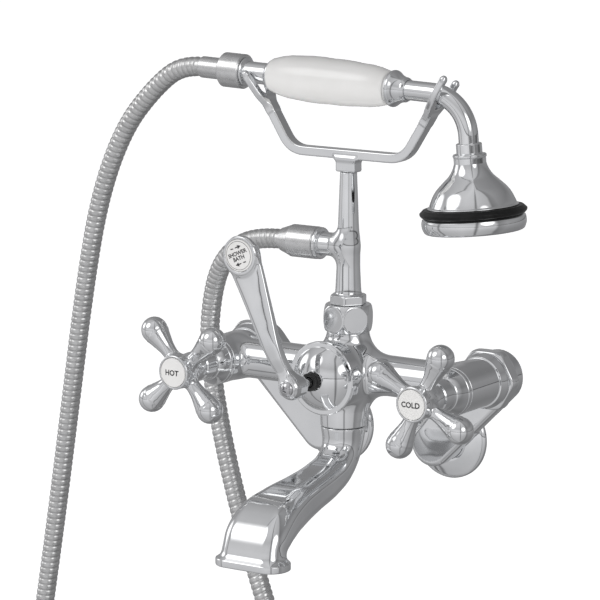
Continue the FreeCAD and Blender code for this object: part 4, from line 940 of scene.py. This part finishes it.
hose_ends()


# ---------------------------------------------------------------- cradle

def path_distance(u, v, points):
    """Distance in a plane to a line of points."""
    result = None
    for (ax, ay), (bx, by) in zip(points, points[1:]):
        dx, dy = bx - ax, by - ay
        t = np.clip(((u - ax) * dx + (v - ay) * dy) / (dx * dx + dy * dy), 0, 1)
        away = np.hypot(u - ax - t * dx, v - ay - t * dy)
        result = away if result is None else np.minimum(result, away)
    return result


FORK_LEAN = math.radians(32.0)


def fork(p, side, front_top, rear_top):
    """A two-pronged rest that leans out from the bar, seen in its own plane."""
    rise = np.array((side * math.sin(FORK_LEAN), 0, math.cos(FORK_LEAN)))
    normal = np.array((side * math.cos(FORK_LEAN), 0, -math.sin(FORK_LEAN)))
    offset = p - np.array((side * 72.3, HUB_Y, HANDSET_Z))
    v = offset @ rise
    w = offset @ normal
    u = offset[:, 1]
    top = np.where(u < 0, front_top, rear_top)
    half = np.interp(v, *smooth_curve([
        (-34, 4.1), (-27, 4.4), (-21, 7.4), (-16.5, 9.4), (-3, 12.0), (12, 12.0)]))
    slot = np.interp(v, (-12.0, -3.0), (5.0, 7.9))
    outline = np.maximum((np.abs(u) - half) * 0.92, -29.0 - v)
    throat = np.where(v > -12.0, (np.abs(u) - slot) * 0.96, np.hypot(u, v + 12.0) - 5.0)
    outline = blend_max(np.maximum(outline, v - top), -throat, 0.8)
    body = blend_max(outline, np.abs(w) - 2.2, 1.1)
    for sign, height in ((-1, front_top), (1, rear_top)):
        tip = np.sqrt((u - sign * 9.95) ** 2 + (v - height) ** 2 + w * w) - 2.25
        body = blend_min(body, tip, 1.0)
    return body


def neck_line():
    """Points along the neck tube: straight through the grip, round a bend, down to the head."""
    radius = 27.0
    along_axis = np.array(HANDSET_AIM[2])
    down = np.array((math.sin(HEAD_TILT), 0, -math.cos(HEAD_TILT)))
    start, head = np.array(SLEEVE_END), np.array(HEAD_TOP)
    gap = (start[2] - head[2]) - math.tan(HANDSET_TILT) * (head[0] - start[0])
    corner = head - down * gap / (math.cos(HEAD_TILT) - math.tan(HANDSET_TILT) * math.sin(HEAD_TILT))
    turn = math.pi / 2 - HEAD_TILT - HANDSET_TILT
    tangent = radius * math.tan(turn / 2)
    first = corner - along_axis * tangent
    upward = np.array(HANDSET_AIM[1])
    middle = first - upward * radius
    line = [start + along_axis * 55.1]
    line += [line[0] + (first - line[0]) * t for t in np.linspace(0.3, 1.0, 8)]
    for step in range(1, 49):
        angle = turn * step / 48
        line.append(middle + radius * (math.sin(angle) * along_axis + math.cos(angle) * upward))
    end = head + down * 5
    last = line[-1]
    return line + [last + (end - last) * t for t in (0.5, 1.0)]


def cradle_field(p):
    mid = 49.0 + 136.4 + 3.0
    run = (HANDSET_Z - mid) / math.cos(FORK_LEAN)
    knee = 72.3 - run * math.sin(FORK_LEAN)
    stop = run - 23.0
    bend = 10.0
    line = [(0.0, mid)]
    for step in range(9):
        t = step / 8
        a = np.array((knee - bend, mid))
        b = np.array((knee, mid))
        c = np.array((knee + bend * math.sin(FORK_LEAN), mid + bend * math.cos(FORK_LEAN)))
        line.append(tuple((1 - t) ** 2 * a + 2 * t * (1 - t) * b + t * t * c))
    line.append((knee + stop * math.sin(FORK_LEAN), mid + stop * math.cos(FORK_LEAN)))
    bar = path_distance(np.abs(p[:, 0]), p[:, 2], line) - 3.0
    body = blend_max(bar, np.abs(p[:, 1] - HUB_Y) - 4.25, 1.1)
    body = blend_min(body, block(p, (0, HUB_Y, 181.6), (14.6, 9.0, 9.0), 1.2), 3.0)
    body = blend_min(body, np.minimum(fork(p, -1, -1.0, -1.0), fork(p, 1, 6.2, 0.2)), 2.0)
    axis = np.array(HANDSET_AIM[2])
    neck_points = [(point[0], point[2]) for point in neck_line()[8::4]]
    tube = np.hypot(path_distance(p[:, 0], p[:, 2], neck_points), p[:, 1] - HUB_Y) - 6.5
    tube = np.where(p[:, 0] > 20, tube, 50.0)
    return less(
        body, rod(p, (0, HUB_Y, 0), "+Z", 170, 187, 2.5, 0.3), rod(p, SLEEVE_END, axis, 22, 56, 7.2),
        tube, k=0.5)


moulded("handset_cradle", cradle_field, (-80, HUB_Y - 13.5, 177), (81, HUB_Y + 13.5, 246), 0.62)


# ---------------------------------------------------------------- spout

SPOUT_STATIONS = (
    # depth from the wall, drop below the valves, width, height, tilt, corner share
    (63.0, 35.6, 28.9, 28.9, 0, 1.0),
    (63.0, 39.0, 27.9, 27.9, 0, 1.0),
    (63.4, 44.0, 26.6, 26.4, 8, 1.0),
    (66.6, 52.3, 25.4, 24.2, 34, 0.97),
    (74.3, 60.1, 25.4, 23.2, 60, 0.90),
    (88.3, 65.8, 26.4, 23.0, 74, 0.80),
    (109.3, 70.4, 29.0, 23.5, 77, 0.76),
    (131.2, 74.7, 35.0, 25.0, 73, 0.76),
    (149.2, 80.0, 41.4, 25.5, 56, 0.84),
    (160.0, 88.0, 43.6, 23.4, 28, 0.91),
    (164.2, 95.0, 43.4, 21.2, 6, 0.95),
    (165.2, 98.4, 44.8, 21.8, 0, 0.96),
    (165.8, 100.2, 47.6, 23.4, 0, 0.96),
    (166.0, 100.8, 49.6, 24.4, 0, 0.96),
)


def station_curves(rows, count):
    """Smoothly interpolated stations, evenly spaced along the spout."""
    rows = np.array(rows, float)
    path = rows[:, :2]
    run = np.concatenate([[0], np.cumsum(np.hypot(*np.diff(path, axis=0).T))])
    tangent = np.gradient(rows, run, axis=0)
    at = np.linspace(0, run[-1], count)
    i = np.clip(np.searchsorted(run, at) - 1, 0, len(run) - 2)
    h = (run[i + 1] - run[i])[:, None]
    a, b, c, e = hermite((at - run[i])[:, None] / h)
    return a * rows[i] + b * h * tangent[i] + c * rows[i + 1] + e * h * tangent[i + 1]


def section_ring(row, count, inset=0.0):
    """Points round a spout section: a rounded rectangle, tilted from level to upright."""
    depth, drop, wide, high, tilt, share = row
    half_w, half_h = wide / 2 - inset, high / 2 - inset
    radius = max(min(half_w, half_h) * min(share, 1.0), 0.2)
    straight_w, straight_h = half_w - radius, half_h - radius
    corners = [(straight_w, straight_h, 0), (-straight_w, straight_h, 90), (-straight_w, -straight_h, 180),
               (straight_w, -straight_h, 270)]
    per = count // 4
    points = []
    for cx, cy, start in corners:
        for step in range(per):
            angle = math.radians(start + 90 * step / (per - 1))
            points.append((cx + radius * math.cos(angle), cy + radius * math.sin(angle)))
    tilt = math.radians(tilt)
    out = np.array((0, -math.cos(tilt), math.sin(tilt)))
    centre = np.array((0, -depth, VALVE_Z - drop))
    return [centre + np.array((1.0, 0, 0)) * a + out * b for a, b in points]


def build_spout():
    count = 96
    rows = station_curves(SPOUT_STATIONS, 96)
    mouth, reach, lip = [51.0, 25.0, 0, 0.97], 166.0, 105.5
    # The turned edge below the hub, then the run, then the mouth band with rounded edges.
    outer = [section_ring([63.0, drop, 28.9, 28.9, 0, 1.0], count, inset)
             for drop, inset in ((34.7, 0.9), (34.8, 0.4), (35.1, 0.1))]
    outer += [section_ring(row, count) for row in rows]
    band = ((100.9, 0.45), (101.1, 0.15), (101.5, 0.0), (104.6, 0.0), (105.2, 0.15), (105.5, 0.6))
    for drop, inset in band:
        outer.append(section_ring([reach, drop, *mouth], count, inset))
    inner = [section_ring([reach, drop, *mouth], count, inset)
             for drop, inset in ((lip, 1.9), (105.0, 2.4), (102.5, 2.8), (100.0, 4.4))]
    for row in rows[::-1][3:-14]:
        inner.append(section_ring(row, count, 2.6))
    # The tenon that plugs into the hub.
    socket = []
    for drop, radius in ((46.0, 6.4), (24.0, 6.4), (24.0, 9.4), (24.6, 9.9), (34.7, 9.9)):
        ring = []
        per = count // 4
        for quarter in range(4):
            for step in range(per):
                angle = math.radians(90 * quarter + 90 * step / (per - 1))
                ring.append(np.array((
                    radius * math.cos(angle), SPOUT_Y - radius * math.sin(angle), VALVE_Z - drop)))
        socket.append(ring)
    rings = outer + inner + socket
    verts = np.array([point for ring in rings for point in ring])
    return tidy_and_shade(mesh_object("spout_skin", verts * MM, ring_faces(len(rings), count)))


finish_piece(build_spout(), "spout")


# ---------------------------------------------------------------- handset

def handset():
    start, aim = SLEEVE_END, HANDSET_AIM
    left, right, grip, end = 17.0, 33.5, 55.0, 142.3
    turned("handset_inlet_fitting", [
        (4.6, left + 4.4), (8.3, left + 4.4), (8.3, right + 0.1), (9.0, right + 0.1), (9.4, right + 0.5),
        (9.4, right + 1.1), (8.8, right + 1.6), (7.0, right + 2.4), (7.0, grip - 4.0, 4), (9.4, grip - 1.2),
        (9.8, grip - 0.8), (9.8, grip - 0.1), (4.6, grip - 0.1),
    ], start, aim, soft=0.3)
    turned("handset_grip", [
        (6.6, grip), (10.2, grip), (10.8, grip + 0.8, -60), (14.2, grip + 20, -150), (14.6, grip + 45, -150),
        (13.7, grip + 67, -60), (10.8, end - 0.8), (10.2, end), (6.6, end),
    ], start, aim, soft=0.5, count=144)
    turned("handset_ferrule", [
        (6.4, end + 0.1), (10.1, end + 0.1), (11.3, end + 2.2, -2.6), (11.2, end + 5, 14), (7.9, end + 11.5),
        (7.9, end + 12.6), (7.1, end + 14), (6.4, end + 14),
    ], start, aim)


def frames_along(line):
    line = np.array(line, float)
    tangents = np.gradient(line, axis=0)
    tangents /= np.linalg.norm(tangents, axis=1)[:, None]
    normal = np.cross(tangents[0], (0.3, 0.9, 0.1))
    normal /= np.linalg.norm(normal)
    normals = []
    for tangent in tangents:
        normal = normal - tangent * np.dot(normal, tangent)
        normal = normal / np.linalg.norm(normal)
        normals.append(normal)
    normals = np.array(normals)
    return line, normals, np.cross(tangents, normals)


def tube_mesh(name, line, outer, inner, count):
    line, normals, sides = frames_along(line)
    angles = 2 * math.pi * np.arange(count) / count
    rings = []
    for radius, order in ((outer, 1), (inner, -1)):
        for index in range(len(line))[::order]:
            rings.append(line[index] + radius * (np.cos(angles)[:, None] * normals[index]
                                                 + np.sin(angles)[:, None] * sides[index]))
    return tidy_and_shade(mesh_object(name, np.concatenate(rings) * MM, ring_faces(len(rings), count)))


def head_axes():
    down = (math.sin(HEAD_TILT), 0, -math.cos(HEAD_TILT))
    side = (math.cos(HEAD_TILT), 0, math.sin(HEAD_TILT))
    return side, (0, 1, 0), down


def shower_head():
    top = HEAD_TOP
    aim = head_axes()
    bell = 28.6
    turned("shower_head_bell", [
        (6.35, 0), (7.6, 0), (8.1, 0.6), (8.1, 6.2), (10.0, 6.6), (10.6, 7.2), (10.6, 8.4), (10.1, 9.0),
        (10.1, 12.5, 18), (16.7, 22.8), (21.0, 27.0, -22), (25.8, 34.4, -24), (bell - 1.3, 38.2),
        (bell, 38.8), (bell, 39.6), (bell - 1.8, 39.6), (bell - 2.4, 38.4), (24.2, 34.8, 24), (19.6, 28.4),
        (15.2, 24.2, -18), (8.4, 14.0), (8.4, 7.8), (6.35, 7.8),
    ], top, aim, soft=0.4, count=160)
    rubber = 33.5
    turned("shower_rubber_ring", [
        (27.2, 39.7), (rubber - 2.2, 39.7), (rubber, 41.8, -2.8), (rubber, 42.6, -2.8), (rubber - 2.2, 44.8),
        (27.2, 44.8),
    ], top, aim, soft=0.4, count=160)
    rim = 32.3
    plate = lathe("shower_face_plate_skin", [
        (0, 50.6), (25.0, 50.6), (25.0, 41.2), (26.9, 41.2), (26.9, 44.9), (rim - 1.2, 44.9), (rim, 46.2, -9),
        (rim - 0.6, 53.2, -2.4), (rim - 2.6, 54.9), (25.5, 54.9), (24.5, 53.8), (0, 52.8),
    ], top, aim, soft=0.4, count=160)
    side, other, down = (np.array(v, float) for v in aim)
    verts, faces = [], []
    for ring_radius, count in ((0.0, 1), (6.0, 8), (12.0, 16), (18.0, 24)):
        for step in range(count):
            angle = 2 * math.pi * step / count
            middle = np.array(top) + ring_radius * (math.cos(angle) * side + math.sin(angle) * other)
            first = len(verts)
            for height in (49.5, 55.2):
                for turn in range(12):
                    a = 2 * math.pi * turn / 12
                    verts.append(middle + down * height + 0.7 * (math.cos(a) * side + math.sin(a) * other))
            faces += [tuple(first + i for i in face) for face in ring_faces(2, 12, closed=False)]
            faces += [tuple(range(first, first + 12))[::-1], tuple(range(first + 12, first + 24))]
    cutter = mesh_object("jets", np.array(verts) * MM, faces, smooth=False)
    tidy_mesh(cutter)
    boolean_cut(plate, cutter)
    plate.data.set_sharp_from_angle(angle=math.radians(40))
    finish_piece(plate, "shower_face_plate")


handset()
finish_piece(tube_mesh("handset_neck_tube_skin", neck_line(), 6.3, 5.1, 72), "handset_neck_tube")
shower_head()


# ---------------------------------------------------------------- hose

# The same route as in part.py: x from the riser axis, depth from the wall, height above the valves.
HOSE_ROUTE = (
    (-112.02, 57.5, 187.5006), (-128.0, 57.5, 187.9749), (-150.0, 57.5, 172.0), (-176.0, 57.0, 143.0),
    (-197.0, 56.0, 96.0), (-211.0, 55.0, 34.0), (-224.0, 54.0, -42.0), (-238.0, 54.0, -128.0),
    (-254.0, 55.0, -222.0), (-270.0, 56.0, -322.0), (-262.0, 57.0, -420.0), (-214.0, 58.0, -488.0),
    (-142.0, 58.0, -510.0), (-76.0, 58.0, -476.0), (-36.0, 58.0, -402.0), (-28.0, 58.0, -306.0),
    (-44.0, 58.0, -214.0), (-76.0, 56.0, -134.0), (-101.0, 52.0, -62.0), (-117.0, 46.0, 0.0),
    (-112.0, 47.0, 42.0), (-97.0, 53.0, 66.0), (-72.0, 57.5, 80.4), (-50.0, 57.5, 80.4),
)
HOSE_RADIUS = 6.5


def hose_line():
    """Points read from the route's own NURBS spline, in millimetres."""
    data = bpy.data.curves.new("hose_line", "CURVE")
    data.dimensions = "3D"
    data.resolution_u = 40
    spline = data.splines.new("NURBS")
    spline.points.add(len(HOSE_ROUTE) - 1)
    for point, (x, depth, rise) in zip(spline.points, HOSE_ROUTE):
        point.co = (x * MM, -depth * MM, (VALVE_Z + rise) * MM, 1)
    spline.order_u = 3
    spline.use_endpoint_u = True
    obj = bpy.data.objects.new("hose_line", data)
    bpy.context.scene.collection.objects.link(obj)
    bpy.context.view_layer.update()
    mesh = bpy.data.meshes.new_from_object(obj.evaluated_get(bpy.context.evaluated_depsgraph_get()))
    points = np.array([v.co[:] for v in mesh.vertices]) / MM
    bpy.data.objects.remove(obj)
    return points


def evenly(points, step):
    run = np.concatenate([[0], np.cumsum(np.linalg.norm(np.diff(points, axis=0), axis=1))])
    count = int(run[-1] / step)
    at = np.linspace(0, run[-1], count + 1)
    return np.stack([np.interp(at, run, points[:, a]) for a in range(3)], 1), at


def build_hose():
    """Double-interlocked spiral hose: in each pitch one rounded turn, split by a thin groove into two equal
    crowns.
    """
    line, run = evenly(hose_line(), 0.42)
    line, normals, sides = frames_along(line)
    count = 28
    pitch = 4.0
    angles = 2 * math.pi * np.arange(count) / count
    phase = (run[:, None] / pitch - angles[None, :] / (2 * math.pi)) % 1.0
    crown = np.abs(np.sin(math.pi * phase)) ** 0.7
    groove = np.exp(-((phase - 0.5) / 0.06) ** 2) * 0.18
    radius = HOSE_RADIUS - 0.75 + 0.75 * crown - groove
    end = np.minimum(run, run[-1] - run)
    radius = np.where(end[:, None] < 3.0, np.minimum(radius, HOSE_RADIUS - 0.6), radius)
    ring = (np.cos(angles)[None, :, None] * normals[:, None, :]
            + np.sin(angles)[None, :, None] * sides[:, None, :])
    verts = (line[:, None, :] + radius[..., None] * ring).reshape(-1, 3)
    total = len(line)
    faces = ring_faces(total, count, closed=False)
    faces.append(tuple(range(count))[::-1])
    faces.append(tuple(range((total - 1) * count, total * count)))
    obj = mesh_object("shower_hose_spiral", verts * MM, faces)
    obj.data.polygons[-1].use_smooth = False
    obj.data.polygons[-2].use_smooth = False
    work = bmesh.new()
    work.from_mesh(obj.data)
    bmesh.ops.recalc_face_normals(work, faces=work.faces)
    work.to_mesh(obj.data)
    work.free()
    finish_piece(obj, "shower_hose", rides=False)
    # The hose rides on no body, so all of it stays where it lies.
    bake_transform(obj)


build_hose()


# ---------------------------------------------------------------- remaining CAD nodes

for name, row in frame["nodes"].items():
    obj = row if isinstance(row, bpy.types.Object) else row["object"]
    look = MATERIALS[RECORD_SLOT[name]]
    if obj.material_slots:
        for slot in obj.material_slots:
            slot.material = look
    else:
        obj.data.materials.append(look)


# ---------------------------------------------------------------- studio

def studio():
    floor_z = CAD_BOX[0][2] - 0.002
    bpy.ops.mesh.primitive_circle_add(vertices=96, radius=26, fill_type="NGON", location=(0, 0, floor_z))
    floor = bpy.context.object
    floor.name = "floor"
    pale = material("floor", (0.86, 0.86, 0.86), (0.89, 0.89, 0.89), 0.0, (0.75, 0.9), (3.0, 8.0, 20.0),
                    (0.02, 0.001), {"Emission Color": (1, 1, 1, 1), "Emission Strength": 0.62})
    floor.data.materials.append(pale)
    floor.visible_glossy = False

    world = bpy.data.worlds.new("studio")
    bpy.context.scene.world = world
    world.use_nodes = True
    tree = world.node_tree
    back = tree.nodes["Background"]
    coords = node(tree, "ShaderNodeTexCoord")
    split = node(tree, "ShaderNodeSeparateXYZ")
    tree.links.new(coords.outputs["Generated"], split.inputs["Vector"])

    def ramp_of(source, stops, low=-1.0, high=1.0):
        """Brightness that follows a value through a list of (position, brightness)."""
        ramp = node(tree, "ShaderNodeValToRGB")
        elements = ramp.color_ramp.elements
        while len(elements) < len(stops):
            elements.new(0.5)
        for element, (place, value) in zip(elements, stops):
            element.position = place
            element.color = (value, value, value * 1.01, 1)
        spread = node(tree, "ShaderNodeMapRange")
        spread.inputs["From Min"].default_value = low
        spread.inputs["From Max"].default_value = high
        tree.links.new(source, spread.inputs["Value"])
        tree.links.new(spread.outputs["Result"], ramp.inputs["Fac"])
        return ramp.outputs["Color"]

    def combined(kind, one, two):
        """Two brightness values multiplied or added."""
        joined = node(tree, "ShaderNodeMix", data_type="RGBA", blend_type=kind, clamp_result=False)
        joined.inputs[0].default_value = 1.0
        tree.links.new(one, joined.inputs[6])
        tree.links.new(two, joined.inputs[7])
        return joined.outputs[2]

    level = ramp_of(split.outputs["Z"], (
        (0.0, 0.40), (0.25, 0.50), (0.40, 0.62), (0.465, 0.70), (0.480, 0.64), (0.486, 0.15), (0.493, 0.13),
        (0.500, 0.58), (0.60, 0.62), (0.72, 0.46), (0.86, 0.56), (1.0, 0.60)))
    turn = node(tree, "ShaderNodeMath", operation="ARCTAN2")
    tree.links.new(split.outputs["Y"], turn.inputs[0])
    tree.links.new(split.outputs["X"], turn.inputs[1])
    around = ramp_of(turn.outputs["Value"], (
        (0.0, 0.85), (0.085, 0.95), (0.10, 0.35), (0.115, 1.0), (0.26, 1.12), (0.335, 1.05), (0.35, 0.30),
        (0.366, 1.0), (0.47, 0.85), (0.49, 0.40), (0.55, 0.55), (0.72, 0.42), (0.90, 0.55), (1.0, 0.85)),
        -math.pi, math.pi)
    light_level = combined("MULTIPLY", level, around)
    lobes = (((-0.50, -0.62, 0.60), 0.93, 0.99, 1.5), ((0.80, -0.45, 0.38), 0.95, 0.99, 1.5),
             ((-0.95, -0.10, 0.28), 0.955, 0.99, 1.0))
    for where, start, end, gain in lobes:
        facing = node(tree, "ShaderNodeVectorMath", operation="DOT_PRODUCT")
        tree.links.new(coords.outputs["Generated"], facing.inputs[0])
        facing.inputs[1].default_value = Vector(where).normalized()
        lobe = node(tree, "ShaderNodeMapRange", interpolation_type="SMOOTHSTEP")
        for socket, value in (("From Min", start), ("From Max", end), ("To Min", 0.0), ("To Max", gain)):
            lobe.inputs[socket].default_value = value
        tree.links.new(facing.outputs["Value"], lobe.inputs["Value"])
        light_level = combined("ADD", light_level, lobe.outputs["Result"])
    tree.links.new(light_level, back.inputs["Color"])
    back.inputs["Strength"].default_value = 1.0

    def softbox(name, where, target, size, power):
        data = bpy.data.lights.new(name, "AREA")
        data.shape = "RECTANGLE"
        data.size, data.size_y = size
        data.energy = power
        light = bpy.data.objects.new(name, data)
        light.location = where
        light.visible_glossy = False
        light.rotation_euler = (Vector(target) - Vector(where)).to_track_quat("-Z", "Y").to_euler()
        bpy.context.scene.collection.objects.link(light)

    softbox("key", (-1.0, -1.6, 1.5), (0, -0.05, 0.1), (1.0, 1.2), 4.5)
    softbox("fill", (1.9, -1.0, 0.7), (0, -0.05, 0.1), (0.8, 1.6), 1.8)
    softbox("top", (0.1, -0.2, 2.0), (0, -0.05, 0.1), (1.4, 1.0), 2)


studio()
bpy.context.scene.view_settings.view_transform = "Standard"
